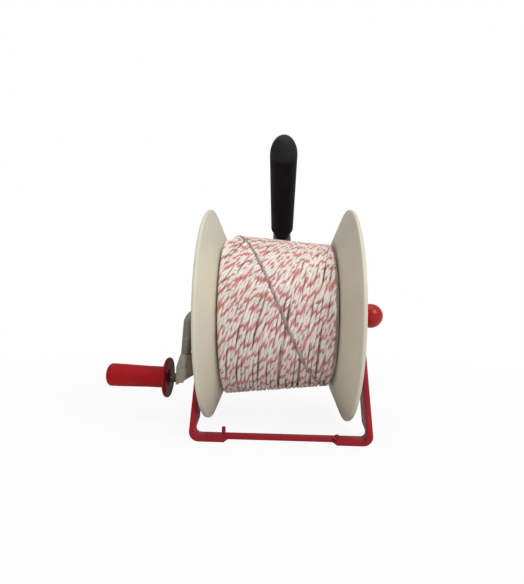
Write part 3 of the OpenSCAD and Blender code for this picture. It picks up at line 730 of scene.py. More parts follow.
class WirePile:
    """Height of the wound wire over the drum, as turns are laid on it one by one."""

    # Cells along the drum in millimetres, steps around it, and how many steps a strand
    # bridges over hollows, is smoothed by, and takes to leave the strand before it
    CELL = 0.5
    STEPS = 360
    BRIDGE = 7
    BLUR = 12
    BLUR_WIDTH = 5.0
    EASE = 24.0

    def __init__(self, half_width, radius_at, wire_radius, cap_at):
        self.half = half_width
        self.cap_at = cap_at
        self.x = np.arange(-half_width, half_width + self.CELL / 2, self.CELL)
        self.height = np.tile(radius_at(self.x), (self.STEPS, 1))
        cells = int(wire_radius / self.CELL)
        self.window = np.arange(-cells, cells + 1)
        self.dome = np.sqrt(np.maximum(wire_radius ** 2 - (self.window * self.CELL) ** 2, 0.0))
        self.last = None

    def lay(self, degrees, x, sink=0.0):
        """Radius of the wire's centre along one stretch, which is then part of the pile."""
        rows = np.round(degrees).astype(int) % self.STEPS
        centre = np.round((x + self.half) / self.CELL).astype(int)
        columns = np.clip(centre[:, None] + self.window[None, :], 0, len(self.x) - 1)
        need = (self.height[rows[:, None], columns] + self.dome[None, :]).max(axis=1)
        need = np.minimum(need, self.cap_at(x)) - sink
        padded = np.pad(need, self.BRIDGE, mode="edge")
        bridged = np.max([padded[i:i + len(need)] for i in range(2 * self.BRIDGE + 1)], axis=0)
        need = bridged * 0.5 + need * 0.5
        kernel = np.exp(-0.5 * (np.arange(-self.BLUR, self.BLUR + 1) / self.BLUR_WIDTH) ** 2)
        kernel /= kernel.sum()
        head = np.full(self.BLUR, need[0]) if self.last is None else self.last
        tail = np.full(self.BLUR, need[-1])
        radius = np.convolve(np.concatenate([head, need, tail]), kernel, mode="valid")
        if self.last is not None:
            ease = np.clip(np.arange(len(radius)) / self.EASE, 0.0, 1.0)
            radius = self.last[-1] * (1 - ease) + radius * ease
        self.last = np.concatenate([head, radius])[-self.BLUR:]
        top = radius[:, None] + self.dome[None, :]
        np.maximum.at(self.height, (np.repeat(rows[:, None], len(self.window), axis=1), columns), top)
        return radius


def on_drum(degrees, x, radius):
    """Points in metres at angles from the top towards the front."""
    a = np.radians(degrees)
    out, up = radius * np.sin(a) * MM, radius * np.cos(a) * MM
    return np.stack([AXLE.x + x * MM, AXLE.y - out, AXLE.z + up], axis=1)


def slow_wander(count, spread, seed):
    """Smooth random offsets along a length of wire."""
    stride, soft = 24, 8
    rough = np.random.default_rng(seed).normal(0.0, 1.0, count // stride + 4)
    fine = np.interp(np.arange(count) / stride, np.arange(len(rough)), rough)
    width = 2 * soft + 1
    return np.convolve(np.pad(fine, soft, mode="edge"), np.ones(width) / width, mode="valid") * spread


def resampled(points, step):
    """Points at even distances along a line."""
    lengths = np.concatenate([[0.0], np.cumsum(np.linalg.norm(np.diff(points, axis=0), axis=1))])
    places = np.linspace(0.0, lengths[-1], int(lengths[-1] / step) + 1)
    return np.stack([np.interp(places, lengths, points[:, k]) for k in range(3)], axis=1)


class Winding:
    """Centre lines of the wire's layers."""

    # In millimetres
    SIDE_ROOM, FAR_ROOM, SOFT_EDGE, LIFT, WANDER = 0.3, 1.6, 3.0, 0.6, 0.85
    CROSS_FROM, CROSS_TO, FAR_FROM, FAR_LENGTH = -60.0, 55.0, 25.0, 20.0
    # In wire radii
    BED_DEPTH, SINK_DEPTH, TUCK_DEPTH, CROSS_DEPTH, FAR_DEPTH = 3.05, 3.4, 2.4, 0.3, 0.5
    # In degrees
    CROSS_START, CROSS_SWEEP, CROSS_REST, TUCK_STEP = -20.0, 195.0, 300.0, 2.0
    # Shares of a layer's lean that go once and twice round, and of what is past the end that sinks
    SWAY_ONCE, SWAY_TWICE, END_SINK = 0.65, 0.18, 0.45
    TUCK_STEPS = 12

    def __init__(self, sizes):
        self.sizes = sizes
        self.wire = sizes.wire_diameter / 2
        self.half = WIND_X - self.wire - self.SIDE_ROOM
        self.pile = WirePile(WIND_X, self.bed, self.wire, lambda x: self.outer(x) - self.wire + self.LIFT)

    def outer(self, x):
        """Outer radius of the winding, which tapers along the drum."""
        t = (np.asarray(x) + WIND_X) / (2 * WIND_X)
        return self.sizes.wound_left + (self.sizes.wound_right - self.sizes.wound_left) * t

    def bed(self, x):
        """Radius of the solid bed under the layers that show."""
        return self.outer(x) - self.BED_DEPTH * self.wire

    def crossing_cap(self, x):
        """Highest radius for the crossing strand, lower towards the far end."""
        far = np.clip((x - self.FAR_FROM) / self.FAR_LENGTH, 0.0, 1.0)
        return self.outer(x) - self.wire * (self.CROSS_DEPTH + self.FAR_DEPTH * far)

    def kept_in(self, x):
        """Places along the drum, held between the flanges."""
        room = np.where(x > 0, self.half - self.FAR_ROOM, self.half)
        free = room - self.SOFT_EDGE
        over = np.maximum(np.abs(x) - free, 0.0)
        return np.sign(x) * np.minimum(np.abs(x), free + self.SOFT_EDGE * np.tanh(over / self.SOFT_EDGE))

    def layer(self, first, last, turns, lean_left, lean_right, start, seed):
        """One layer of turns as angles, places and radii; the leans are its slant at each end."""
        degrees = start + np.arange(int(turns * 360) + 1)
        t = (degrees - start) / (turns * 360.0)
        line = first + (last - first) * t + slow_wander(len(t), self.WANDER, seed)
        share = np.clip((line + self.half) / (2 * self.half), 0.0, 1.0)
        a = np.radians(degrees)
        sway = self.SWAY_ONCE * np.cos(a) + self.SWAY_TWICE * np.cos(2 * a)
        free = line + (lean_left + (lean_right - lean_left) * share) * sway
        x = self.kept_in(free)
        past = np.maximum(np.abs(free) - self.half, 0.0)
        sink = np.minimum(past * self.END_SINK, self.SINK_DEPTH * self.wire)
        radius = np.concatenate([self.pile.lay(degrees[i:i + 360], x[i:i + 360], sink[i:i + 360])
                                 for i in range(0, len(degrees), 360)])
        return degrees, x, radius

    def lines(self):
        """Lower turns, outer turns and crossing strand, as points in metres."""
        half, turns = self.half, self.sizes.turns
        low = self.layer(first=-half, last=half, turns=turns + 5, lean_left=24.0, lean_right=6.0,
                         start=200.0, seed=3)
        top = self.layer(first=half + 4.0, last=-half - 26.0, turns=turns + 16, lean_left=45.0,
                         lean_right=12.0, start=low[0][-1], seed=8)
        self.pile.cap_at = self.crossing_cap
        start = top[0][-1]
        first = start + (self.CROSS_START - start) % 360.0
        approach = np.arange(start, first)
        cross = np.arange(first, first + self.CROSS_SWEEP + self.CROSS_REST)
        t = np.clip((cross - first) / self.CROSS_SWEEP, 0.0, 1.0)
        x_cross = self.kept_in(self.CROSS_FROM + (self.CROSS_TO - self.CROSS_FROM) * t)
        joint = len(approach)
        x_join = np.linspace(top[1][-1], x_cross[0], max(2, joint))[:joint]
        angle, x = np.concatenate([approach, cross]), np.concatenate([x_join, x_cross])
        last = (angle, x, self.pile.lay(angle, x))
        tuck = np.arange(1, self.TUCK_STEPS + 1)
        drop = self.wire * self.TUCK_DEPTH * (1 - np.cos(np.pi * tuck / self.TUCK_STEPS)) / 2
        end = (angle[-1] + tuck * self.TUCK_STEP, np.full(self.TUCK_STEPS, x[-1]), last[2][-1] - drop)
        upper = [np.concatenate([top[k][:-1], last[k][:joint + 1]]) for k in range(3)]
        crossing = [np.concatenate([last[k][joint:], end[k]]) for k in range(3)]
        return on_drum(*low), on_drum(*upper), on_drum(*crossing)


# Operators

class ReelStep(bpy.types.Operator):
    """Common part of the reel's building steps."""

    bl_idname = "fence_reel.step"
    bl_label = "Reel step"
    bl_options = {"REGISTER", "UNDO"}

    @property
    def sizes(self):
        return bpy.context.scene.fence_reel.sizes

    def execute(self, context):
        self.build(context)
        return {"FINISHED"}

    def build(self, context):
        raise RuntimeError("a reel step needs its own build")


class REEL_OT_camera(ReelStep):
    """Camera in front of the reel, a little above the axle"""

    bl_idname = "fence_reel.camera"
    bl_label = "Place camera"
    SENSOR = 36.0
    PICTURE_WIDTH, FOCAL, SHIFT_X, SHIFT_Y = 524.0, 426.0, 5.9, 22.3

    def build(self, context):
        stage = context.scene.fence_reel.stage
        data = bpy.data.cameras.new("camera")
        data.sensor_fit = "HORIZONTAL"
        data.sensor_width = self.SENSOR
        data.lens = self.SENSOR * self.FOCAL / self.PICTURE_WIDTH
        data.shift_x = self.SHIFT_X / self.PICTURE_WIDTH
        data.shift_y = self.SHIFT_Y / self.PICTURE_WIDTH
        data.clip_start = 0.01
        camera = new_object("camera", data)
        away = Vector((0.0, -math.cos(stage.elevation), math.sin(stage.elevation)))
        facing = away.to_track_quat("Z", "Y").to_matrix().to_4x4()
        turn = facing @ turned(stage.pan, "Y") @ turned(stage.roll, "Z")
        camera.matrix_world = Matrix.Translation(AXLE + away * stage.distance) @ turn
        context.scene.camera = camera


class REEL_OT_stage(ReelStep):
    """Pale floor, white surroundings and soft studio light"""

    bl_idname = "fence_reel.stage"
    bl_label = "Set stage"
    FLOOR_HALF = 6.0
    FLOOR_GREY = 0.76
    # Name, place and size in metres, and the setting of its power
    LAMPS = (("key_light", (0.85, -0.95, 1.1), 0.8, "key_power"),
             ("top_light", (0.0, -0.1, 1.5), 1.0, "fill_power"),
             ("glint_light", (-0.45, -0.9, 0.85), 0.12, "glint_power"))

    def build(self, context):
        scene = context.scene
        stage = scene.fence_reel.stage
        scene.view_settings.view_transform = "Standard"
        bm = bmesh.new()
        bmesh.ops.create_grid(bm, x_segments=1, y_segments=1, size=self.FLOOR_HALF)
        floor = piece_from(bm, "floor", keep_normals=True)
        floor.data.materials.append(self.floor_finish())
        self.world(scene, stage.sky)
        for name, place, size, power in self.LAMPS:
            data = bpy.data.lights.new(name, "AREA")
            data.shape = "SQUARE"
            data.size = size
            data.energy = getattr(stage, power)
            aim = (AXLE - Vector(place)).to_track_quat("-Z", "Y").to_matrix().to_4x4()
            new_object(name, data).matrix_world = Matrix.Translation(place) @ aim

    def floor_finish(self):
        """Pale floor that the camera sees as white, a little greyer near the reel where its shadow falls."""
        f = Finish("pale_floor", Roughness=0.9, Base_Color=(*[self.FLOOR_GREY] * 3, 1.0))
        tree = f.tree
        seen = tree.nodes.new("ShaderNodeLightPath").outputs["Is Camera Ray"]
        glow = add_node(tree, "ShaderNodeEmission", {"Strength": 1.0})
        away = add_node(tree, "ShaderNodeVectorMath", {0: f.place}, operation="LENGTH")
        white = span_value(tree, ramp(tree, away.outputs["Value"], 0.2, 0.7), 0.9, 1.0)
        blend = add_node(tree, "ShaderNodeMixShader", {
            0: math_node(tree, "MULTIPLY", seen, white), 1: f.shader.outputs[0], 2: glow.outputs[0]})
        feed(tree, blend.outputs[0], tree.nodes["Material Output"].inputs["Surface"])
        return f.material

    def world(self, scene, strength):
        """Even white light of a set strength, which the camera sees as plain white."""
        world = bpy.data.worlds.new("studio")
        scene.world = world
        world.use_nodes = True
        tree = world.node_tree
        path = tree.nodes.new("ShaderNodeLightPath").outputs
        seen = math_node(tree, "MAXIMUM", path["Is Camera Ray"], path["Is Transmission Ray"])
        power = math_node(tree, "ADD", math_node(tree, "MULTIPLY", seen, 1.0 - strength), strength)
        for name, value in (("Color", (1.0, 1.0, 1.0, 1.0)), ("Strength", power)):
            feed(tree, value, tree.nodes["Background"].inputs[name])


class REEL_OT_wound_wire(ReelStep):
    """Polywire on the drum: bed, lower turns and outer turns with the crossing strand"""

    bl_idname = "fence_reel.wound_wire"
    bl_label = "Wind wire"
    PER_TWIST = 8
    SIDES, LOWER_SIDES = 12, 8
    LOWER_STEP = 0.0032
    # The bed's last setting is how much painted shade lies evenly over it
    BED_RADIUS, BED_SIDE_ROOM, BED_RINGS, BED_WAVE, BED_GROOVE = 35.4, 0.2, 97, 0.5, 0.3

    def build(self, context):
        s = self.sizes
        winding = Winding(s)
        lower, outer, crossing = winding.lines()
        values = {"Radius": s.wire_diameter / 2 * MM, "Lobes": 3.0, "Lobe depth": 0.16,
                  "Twist length": s.twist_length * MM, "Sides": self.SIDES}
        step = s.twist_length * MM / self.PER_TWIST
        line = resampled(outer, step)
        count = np.arange(len(line))
        hidden = (line[:, 1] > AXLE.y) & (line[:, 2] < AXLE.z) & (count % self.PER_TWIST == 0)
        split = int(np.flatnonzero(hidden & (count > len(line) // 2))[0])
        settle(rope("wire_outer_turns", line[:split + 1], "wire", values), "drum", "wire", "wire_winding")
        settle(rope("wire_last_turns", line[split:], "wire", values), "drum", "wire")
        # The crossing strand takes the darker polywire, which is painted shade
        settle(rope("wire_crossing_strand", resampled(crossing, step), "soiled", values), "drum", "soiled")
        values["Sides"] = self.LOWER_SIDES
        settle(rope("wire_lower_turns", resampled(lower, self.LOWER_STEP), "wire", values), "drum", "wire")
        settle(self.bed(winding), "drum", "wire", "wire_core")

    def bed(self, winding):
        """Ring of buried wire with a wavy surface, marked like the rope."""
        half = WIND_X - self.BED_SIDE_ROOM
        profile = [(self.BED_RADIUS, half), (self.BED_RADIUS, -half)]
        for i, x in enumerate(np.linspace(-half, half, self.BED_RINGS)):
            profile.append((float(winding.bed(x)) + self.BED_WAVE * (1 - math.cos(i * QUARTER)), float(x)))
        piece = lathed("wire_bed", profile, AT_AXLE @ ALONG_X, segments=120, closed=True, sharp=60.0)
        marked(piece, "tracer", lambda place: 0.0)
        # Painted shade lies evenly over the whole bed, as in the rope's grooves
        return marked(piece, "groove", lambda place: self.BED_GROOVE)


class REEL_OT_flanges(ReelStep):
    """Flared drum flanges with hubs and ribs"""

    bl_idname = "fence_reel.flanges"
    bl_label = "Make flanges"
    HUB_R = 17.0
    HUB_DEPTH = 16.0
    BORE_R = 5.5 + BORE_FIT
    FLAT_BEND = 14.0
    SHARP = 36.0
    RIB_HALF, RIB_HEIGHT, RIB_ROUND, RIB_SEAT = 1.25, 6.0, 0.3, 0.6

    def build(self, context):
        count = self.sizes.rib_count
        sides = (("left_flange", math.pi, HUB_X - 2 * FRAME_MID), ("right_flange", 0.0, HUB_X))
        for name, turn, hub_end in sides:
            side = AT_AXLE @ turned(turn, "Z")
            settle(self.moulding(name + "_moulding", side, hub_end), "drum", "drum", name)
            spokes = [side @ turned(FULL_TURN * (i + 0.5) / count, "X") for i in range(count)]
            settle(repeated(name + "_ribs", self.rib(), spokes, "drum"), "drum", "drum", name)

    def moulding(self, name, side, hub_end):
        s = self.sizes
        inner, outer = FLANGE_X, FLANGE_X + s.flange_wall
        lip_in, lip_out = inner + s.flare, outer + s.flare
        rim, hub, flat = s.flange_radius, self.HUB_R, s.flat_radius
        profile = filleted([
            (self.BORE_R, inner - self.HUB_DEPTH), (hub, inner - self.HUB_DEPTH, 0.8), (hub, inner, 0.6),
            (flat, inner, self.FLAT_BEND), (rim - 2.6, lip_in - 0.6, 2.0), (rim, lip_in + 0.6, 1.4),
            (rim, lip_out, 1.6), (rim - 4.6, lip_out, 1.2), (rim - 5.8, lip_out - 1.9, 0.8),
            (flat, outer, self.FLAT_BEND), (hub + 1.0, outer, 1.2), (hub, hub_end, 1.0),
            (self.BORE_R, hub_end)], steps=5)
        return lathed(name, profile, side @ ALONG_X, segments=168, closed=True, sharp=self.SHARP)

    def rib(self):
        s = self.sizes
        base = FLANGE_X + s.flange_wall
        foot, top = base - self.RIB_SEAT, base + self.RIB_HEIGHT
        start, end = self.HUB_R - 1.0, s.flat_radius - 1.0
        outline = filleted([(start, foot), (start, top), (s.flat_radius / 2, top, 8.0),
                            (end, base + 0.2, 1.0), (end, foot)], steps=5)
        half, soft = self.RIB_HALF, self.RIB_ROUND
        bm = bmesh.new()
        rows = []
        for y, lower in ((-half, soft), (-half + soft, 0.0), (half - soft, 0.0), (half, soft)):
            drops = [0.0] + [lower] * (len(outline) - 2) + [0.0]
            rows.append([bm.verts.new(Vector((x - drop, y, radius)) * MM)
                         for (radius, x), drop in zip(outline, drops)])
        for a, b in zip(rows, rows[1:]):
            for k in range(len(a) - 1):
                bm.faces.new((a[k], a[k + 1], b[k + 1], b[k]))
        bm.faces.new(rows[0])
        bm.faces.new(rows[-1])
        bm.faces.new([row[0] for row in rows] + [row[-1] for row in reversed(rows)])
        return piece_from(bm, "flange_rib_pattern", self.SHARP)


class REEL_OT_crank(ReelStep):
    """Bent axle bar, folded bracket, rivet and spindle"""

    bl_idname = "fence_reel.crank"
    bl_label = "Make crank"
    BAR_R, BEND_R, STAND, LEAN = 5.5, 12.0, 4.5, math.radians(4.5)
    STUB_R, STUB_L = 4.0, 15.0
    BAR_EDGE = 0.7
    RIVET_R, RIVET_HEAD_R, RIVET_HEAD = 2.0, 4.0, 1.0
    SHOULDER_R, SHOULDER_L = 5.0, 7.2
    HEAD_R, HEAD_L = 6.5, 4.3
    SPINDLE_R, THREAD_R, THREAD_L = 4.0, 3.0, 4.0

    def build(self, context):
        settle(self.bar(), "drum", "zinc", "axle_crank")
        # The bracket and its rivet take the lighter zinc with painted light, painted shade and a painted
        # reflection
        settle(softened("crank_bracket", "crank_bracket_folded", 0.5), "drum", "stained", "crank_bracket")
        settle(self.rivet(), "drum", "stained", "bracket_rivet")
        # The spindle takes the darker copy of zinc, which is painted shade
        settle(self.spindle(), "drum", "greased", "crank_spindle")

    def bar(self):
        radius, bend, lean = self.BAR_R, self.BEND_R, self.LEAN
        low = span("axle_crank", 2)[0]
        right = span("axle_crank", 0)[1]
        shoulder = right - self.STUB_L
        bend_x = FRAME_MID - FRAME_HALF - self.STAND
        line = [Vector((x, 0.0, 0.0)) for x in np.linspace(shoulder, bend_x, 24)]
        for a in np.linspace(0.0, QUARTER - lean, 17)[1:]:
            line.append(Vector((bend_x - bend * math.sin(a), 0.0, -bend * (1 - math.cos(a)))))
        down = Vector((-math.sin(lean), 0.0, -math.cos(lean)))
        top = line[-1].copy()
        length = (top.z - low) / math.cos(lean) - radius * math.tan(lean)
        line += [top + down * t for t in np.linspace(0.0, length, 14)[1:]]
        stations = [(point, radius) for point in line]
        stations[-1:] = [(line[-1] - down * self.BAR_EDGE, radius), (line[-1], radius - self.BAR_EDGE)]
        across = Vector((0.0, 1.0, 0.0))
        rings = []
        for i, (centre, r) in enumerate(stations):
            k = min(i, len(line) - 1)
            up = (line[min(k + 1, len(line) - 1)] - line[max(k - 1, 0)]).normalized().cross(across)
            rings.append([centre + p.x * across + p.y * up for p in ring(40, 0.0, lambda a: r)])
        bm = bmesh.new()
        skin(bm, rings, AT_AXLE, caps=True)
        root = shoulder - 1.0
        lathe(bm, [(0.0, root), (self.STUB_R, root)]
              + thread_profile(self.STUB_R, shoulder, right - 0.8, pitch=1.25, depth=0.4)
              + [(3.4, right - 0.2), (3.0, right), (0.0, right)], AT_AXLE @ ALONG_X, segments=32)
        return piece_from(bm, "crank_bar")

    def rivet(self):
        low, high = span("bracket_rivet", 1)
        x, z = middle("bracket_rivet", 0), middle("bracket_rivet", 2)
        place = AT_AXLE @ moved(x, 0.0, z) @ turned(-QUARTER, "X")
        head = self.RIVET_HEAD
        half = [(0.0, 0.0), (2.6, 0.0, 0.6), (self.RIVET_HEAD_R, head, 0.3), (self.RIVET_R, head)]
        profile = ([(r, low + z, *fillet) for r, z, *fillet in half]
                   + [(r, high - z, *fillet) for r, z, *fillet in reversed(half)])
        return lathed("bracket_rivet_headed", filleted(profile), place, segments=32)

    def spindle(self):
        low, high = reach("crank_spindle")
        web = reach("crank_bracket")[0]
        shoulder, head, thread = web - self.SHOULDER_L, low + self.HEAD_L, high - self.THREAD_L
        profile = filleted([
            (0.0, low), (5.6, low, 0.5), (self.HEAD_R, low + 1.0, 0.5), (self.HEAD_R, head, 0.2),
            (self.SPINDLE_R, head), (self.SPINDLE_R, shoulder), (self.SHOULDER_R, shoulder, 0.3),
            (self.SHOULDER_R, web), (self.THREAD_R, web), (self.THREAD_R, thread)])
        profile += thread_profile(self.THREAD_R, thread, high - 0.4, pitch=1.0, depth=0.3)
        profile += [(2.4, high), (0.0, high)]
        return lathed("crank_spindle_turned", profile, SPINDLE, segments=40)


class REEL_OT_crank_grip(ReelStep):
    """Red crank grip with its collar disc and domed cap"""

    bl_idname = "fence_reel.crank_grip"
    bl_label = "Make crank grip"
    BORE_R = 4.0 + BORE_FIT
    COLLAR_T, NECK_R, END_R = 4.8, 11.6, 12.5
    SOCKET_R, SOCKET_L, PLUG_R, PLUG_L = 7.0, 6.2, 6.9, 0.8
    # How dark the painted shade on the collar gets at its back face, and how far into the collar it starts
    GREASE, GREASE_FROM = 0.85, 0.8

    def build(self, context):
        low, high = reach("crank_grip")
        collar = high - self.COLLAR_T
        profile = filleted([
            (self.BORE_R, high), (9.0, high, 0.5), (9.6, high - 0.9, 0.5), (19.0, high - 0.5, 1.0),
            (21.4, high - 0.2, 1.2), (22.0, high - 2.4, 1.8), (21.0, collar + 0.1, 1.4), (13.6, collar, 1.8),
            (self.NECK_R, collar - 2.6, 2.5), (self.NECK_R, collar - 20.0, 30.0), (12.3, low + 14.0, 30.0),
            (self.END_R, low + 0.5, 0.3), (12.3, low, 0.2), (self.SOCKET_R, low),
            (self.SOCKET_R, low + self.SOCKET_L), (self.BORE_R, low + self.SOCKET_L)], steps=5)
        grip = lathed("crank_grip_moulding", profile, SPINDLE, segments=72, closed=True)
        greasy = collar + self.GREASE_FROM

        # Painted shade that grows across the collar towards its back face
        def grease(spot):
            return self.GREASE * ((TO_SPINDLE @ spot).z / MM - greasy) / (high - greasy)

        settle(marked(grip, "grease", grease), "crank_grip", "plastic", "crank_grip")
        settle(self.cap(low), "crank_grip", "plastic", "crank_grip_cap")

    def cap(self, seat):
        end = reach("crank_grip_cap")[0]
        length = seat - end
        dome = [(12.45 - length * (1 - math.cos(a)), seat - length * math.sin(a) * 0.9)
                for a in np.radians(np.linspace(6, 90, 12))]
        plug = [(0.0, seat + self.PLUG_L), (self.PLUG_R, seat + self.PLUG_L), (self.PLUG_R, seat)]
        profile = plug + [(12.2, seat - 0.12)] + dome + [(5.0, end + 0.2), (2.6, end), (0.0, end)]
        return lathed("crank_grip_cap_moulding", profile, SPINDLE, segments=72)


class REEL_OT_brake_knob(ReelStep):
    """Red ball knob on the axle's threaded end"""

    bl_idname = "fence_reel.brake_knob"
    bl_label = "Make brake knob"
    SOCKET_R, SOCKET_ROOM, SEAT_R, FOOT_R = 6.05, 1.0, 9.5, 8.9
    SEAM, SEAM_WIDTH = 0.12, 0.03

    def build(self, context):
        low, high = span("brake_knob", 0)
        radius = span("brake_knob", 2)[1]
        centre = high - radius
        depth = span("axle_crank", 0)[1] + self.SOCKET_ROOM
        ball = []
        for a in np.linspace(math.asin(self.SEAT_R / radius), math.pi, 40):
            seam = self.SEAM * math.exp(-((a - QUARTER) / self.SEAM_WIDTH) ** 2)
            r = radius - self.SEAM + seam
            ball.append((max(0.0, r * math.sin(a)), centre - r * math.cos(a)))
        ball[-1] = (0.0, high - self.SEAM)
        socket = [(0.0, depth), (self.SOCKET_R, depth), (self.SOCKET_R, low), (self.FOOT_R, low)]
        knob = lathed("ball_knob_moulding", socket + ball, AT_AXLE @ ALONG_X, segments=72)
        settle(knob, "brake_knob", "gloss", "brake_knob")


class REEL_OT_steel_frame(ReelStep):
    """Painted stand strap, rear plates, crossbar and wire pegs"""

    bl_idname = "fence_reel.steel_frame"
    bl_label = "Make steel frame"
    STRAP_T = 4.5
    PEG_R, PEG_ROOT_R, PEG_ROOT, PEG_FOOT_R, STUB_H = 1.8, 1.3, 4.2, 2.3, 1.6

    def build(self, context):
        for node in ("stand_strap", "left_rear_plate", "right_rear_plate", "rear_crossbar"):
            settle(softened(node, node + "_painted", self.sizes.edge_round), "frame", "paint", node)
        settle(self.pegs(), "frame", "paint", "wire_pegs")

    def pegs(self):
        left, right = span("wire_pegs", 0)
        radius, root = self.PEG_R, self.PEG_ROOT_R
        base = span("stand_strap", 2)[0] + self.STRAP_T
        bm = bmesh.new()
        for x, tip in ((left + radius, span("wire_pegs", 2)[1]), (right - radius, base + self.STUB_H)):
            lathe(bm, filleted([
                (0.0, base - self.PEG_ROOT), (root, base - self.PEG_ROOT), (root, base),
                (self.PEG_FOOT_R, base, 0.3), (radius, base + 0.8, 0.4), (radius, tip, 0.7), (0.0, tip)]),
                AT_AXLE @ moved(x, middle("wire_pegs", 1), 0.0), segments=28)
        return piece_from(bm, "wire_pegs_turned")


class REEL_OT_handle(ReelStep):
    """Handle stem and black hand grip"""

    bl_idname = "fence_reel.handle"
    bl_label = "Make handle"
    STEM_OUT, STEM_UP, STEM_FREE = 123.5, 26.5, 7.0
    NECK_R, BODY_R, END_R = 9.5, 13.3, 13.75
    NECK_L, GRIP_L, DOME = 9.0, 125.0, 22.0
    # Where the lighter band round the lip sits, its width and strength, and the length over which the painted
    # light on the end grows
    LIP, LIP_WIDTH, LIP_RUB, END_RUB = 12.6, 2.4, 0.7, 5.0

    def build(self, context):
        settle(softened("handle_stem", "handle_stem_plated", 0.5), "frame", "zinc", "handle_stem")
        out, up = self.STEM_OUT, self.STEM_UP
        bend = Vector((FRAME_MID, out * math.sin(ARM_LEAN) - up * math.cos(ARM_LEAN),
                       out * math.cos(ARM_LEAN) + up * math.sin(ARM_LEAN)))
        along = Vector((0.0, -math.cos(GRIP_RISE), math.sin(GRIP_RISE)))
        place = AT_AXLE @ moved(*(bend + along * self.STEM_FREE)) @ turned(QUARTER - GRIP_RISE, "X")
        end = self.GRIP_L
        profile = filleted([
            (0.0, 0.0), (8.7, 0.0, 0.5), (self.NECK_R, 1.0, 0.6), (self.NECK_R, self.NECK_L, 1.2),
            (13.1, 12.8, 1.0), (self.BODY_R, 14.5, 1.5), (self.END_R, end)], steps=5)
        profile += [(self.END_R * math.cos(a), end + self.DOME * math.sin(a))
                    for a in np.radians(np.linspace(4, 70, 12))]
        tip = end + self.DOME * math.sin(math.radians(72.0))
        profile += [(3.6, tip - 0.1), (2.9, tip), (0.0, tip)]
        grip = lathed("hand_grip_moulding", profile, place, segments=80)
        back = place.inverted()

        # Painted light growing over the grip's end, and a lighter band round the lip
        def rubbed(spot):
            height = (back @ spot).z / MM
            return max((height - end) / self.END_RUB, self.LIP_RUB - abs(height - self.LIP) / self.LIP_WIDTH)

        settle(marked(grip, "rubbed", rubbed), "frame", "rubber", "hand_grip")


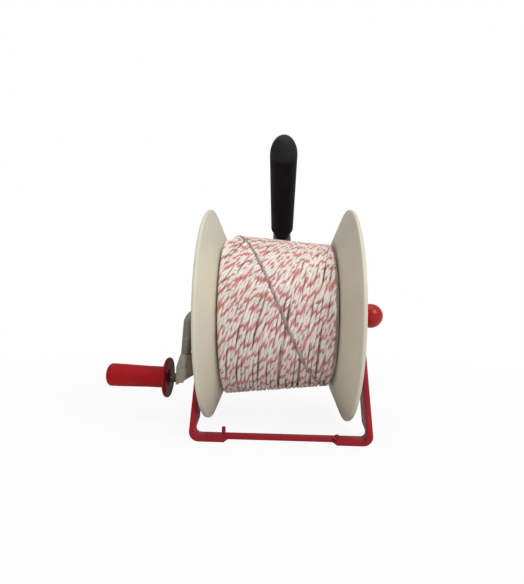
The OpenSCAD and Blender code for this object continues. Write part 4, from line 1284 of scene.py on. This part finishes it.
class REEL_OT_fasteners(ReelStep):
    """Bolts, nuts and screws, each set made from one pattern"""

    bl_idname = "fence_reel.fasteners"
    bl_label = "Set fasteners"
    # Radius over the corners, head height, shank radius, length, nut height
    FRAME_BOLT = (5.7, 4.0, 3.0, 13.5, 5.0)
    STEM_BOLT = (4.75, 3.5, 2.5, 15.0, 4.0)
    STEM_GAP, STEM_HEAD, STEM_NUT = 7.0, 126.0, 112.0
    NUT_INSET = 12.0
    SCREW_COUNT, SCREW_CIRCLE = 4, 27.5

    def build(self, context):
        rows = (("frame", self.FRAME_BOLT, self.on_frame, FRAME_HALF, FRAME_HALF - self.NUT_INSET),
                ("stem", self.STEM_BOLT, self.on_stem, self.STEM_HEAD, self.STEM_NUT))
        for kind, (corner, head, shank, length, nut), places_at, head_at, nut_at in rows:
            self.add_set("frame", kind + "_bolts", self.bolt(corner, head, shank, length), places_at(head_at))
            self.add_set("frame", kind + "_nuts", self.nut(corner, nut, shank), places_at(nut_at))
        low, high = reach("spindle_nut")
        corner, _, shank, *_ = self.FRAME_BOLT
        self.add_set("drum", "spindle_nut", self.nut(corner, high - low, shank),
                     [SPINDLE @ moved(0.0, 0.0, low)])
        seat = moved(FLANGE_X + self.sizes.flange_wall, 0.0, self.SCREW_CIRCLE) @ ALONG_X
        places = [AT_AXLE @ turned(side, "Z") @ turned(FULL_TURN * (i + 0.5) / self.SCREW_COUNT, "X") @ seat
                  for side in (0.0, math.pi) for i in range(self.SCREW_COUNT)]
        self.add_set("drum", "flange_screws", self.screw(), places)

    def add_set(self, body, node, pattern, places):
        """Puts a pattern at its places as one piece that stands for a CAD node."""
        settle(repeated(node + "_set", pattern, places, "steel"), body, "steel", node)

    def on_frame(self, x):
        """Places of the frame bolts on both sides, facing outwards."""
        y, z = middle("frame_bolts", 1), middle("frame_bolts", 2)
        return [AT_AXLE @ moved(FRAME_MID + side * x, y, z) @ turned(side * QUARTER, "Y") for side in (1, -1)]

    def on_stem(self, height):
        """Places of the stem bolts at a height above the axle along the handle arms."""
        arm = AT_AXLE @ moved(FRAME_MID, 0.0, 0.0) @ turned(-ARM_LEAN, "X")
        return [arm @ moved(0.0, side * self.STEM_GAP, height) for side in (-1, 1)]

    def bolt(self, corner, head, shank, length):
        bm = bmesh.new()
        hexagon(bm, corner, head)
        lathe(bm, [(0.0, -length), (shank - 0.6, -length)]
              + thread_profile(shank, 0.6 - length, -length * 0.45, pitch=1.0, depth=0.3)
              + [(shank, -length * 0.42), (shank, 0.2), (0.0, 0.2)], Matrix.Identity(4), segments=24)
        return piece_from(bm, "bolt_pattern", sharp=28.0)

    def nut(self, corner, height, shank):
        bm = bmesh.new()
        hexagon(bm, corner, height, shank + BORE_FIT)
        return piece_from(bm, "nut_pattern", sharp=28.0)

    def screw(self):
        sides, slot, slot_end = 48, 0.5, 1.75

        def cross(wide):
            def radius_at(angle):
                near = max(1e-3, min(abs(math.cos(angle)), abs(math.sin(angle))))
                return min(slot_end, slot / near) * wide
            return radius_at

        head = ((3.9, 0.0), (4.0, 0.5), (3.6, 1.5), (2.7, 2.2), (1.9, 2.4))
        rings = [ring(sides, height, lambda a, r=radius: r) for radius, height in head]
        rings += [ring(sides, height, cross(wide)) for wide, height in ((1.0, 2.4), (0.82, 1.3))]
        bm = bmesh.new()
        skin(bm, rings, Matrix.Identity(4), caps=True)
        lathe(bm, [(0.0, -18.0), (1.0, -17.4)] + thread_profile(2.0, -16.5, -1.0, pitch=1.6, depth=0.5)
              + [(2.0, -0.6), (2.0, 0.2), (0.0, 0.2)], Matrix.Identity(4), segments=20)
        return piece_from(bm, "screw_pattern", sharp=34.0)


class REEL_OT_kept_parts(ReelStep):
    """Finishes of the CAD parts that stay as they are"""

    bl_idname = "fence_reel.kept_parts"
    bl_label = "Finish kept parts"
    PARTS = {"drum_barrel": "drum", "drive_pin": "steel", "axle_bushes": "nylon", "brake_washer": "rubber",
             "knob_insert": "steel"}

    def build(self, context):
        for node, look in self.PARTS.items():
            part = frame["nodes"][node]
            part.data.materials.clear()
            part.data.materials.append(finish(look))


class REEL_PT_panel(bpy.types.Panel):
    """Steps and settings of the fence reel"""

    bl_idname = "REEL_PT_panel"
    bl_label = "Fence reel"
    bl_space_type = "VIEW_3D"
    bl_region_type = "UI"
    bl_category = "Fence reel"

    def draw(self, context):
        settings = context.scene.fence_reel
        for step in STEPS:
            self.layout.operator(step.bl_idname)
        for title in settings.__annotations__:
            group = getattr(settings, title)
            box = self.layout.box()
            box.label(text=title.capitalize())
            for key in group.__annotations__:
                box.prop(group, key)


STEPS = (REEL_OT_camera, REEL_OT_stage, REEL_OT_wound_wire, REEL_OT_flanges, REEL_OT_crank,
         REEL_OT_crank_grip, REEL_OT_brake_knob, REEL_OT_steel_frame, REEL_OT_handle, REEL_OT_fasteners,
         REEL_OT_kept_parts)
CLASSES = (ReelSizes, ReelColours, StageSettings, FenceReel, *STEPS, REEL_PT_panel)


def register():
    for cls in CLASSES:
        bpy.utils.register_class(cls)
    bpy.types.Scene.fence_reel = bpy.props.PointerProperty(type=FenceReel)


def unregister():
    del bpy.types.Scene.fence_reel
    for cls in reversed(CLASSES):
        bpy.utils.unregister_class(cls)


def main():
    register()
    for step in STEPS:
        group, name = step.bl_idname.split(".")
        getattr(getattr(bpy.ops, group), name)()


if __name__ == "__main__":
    main()
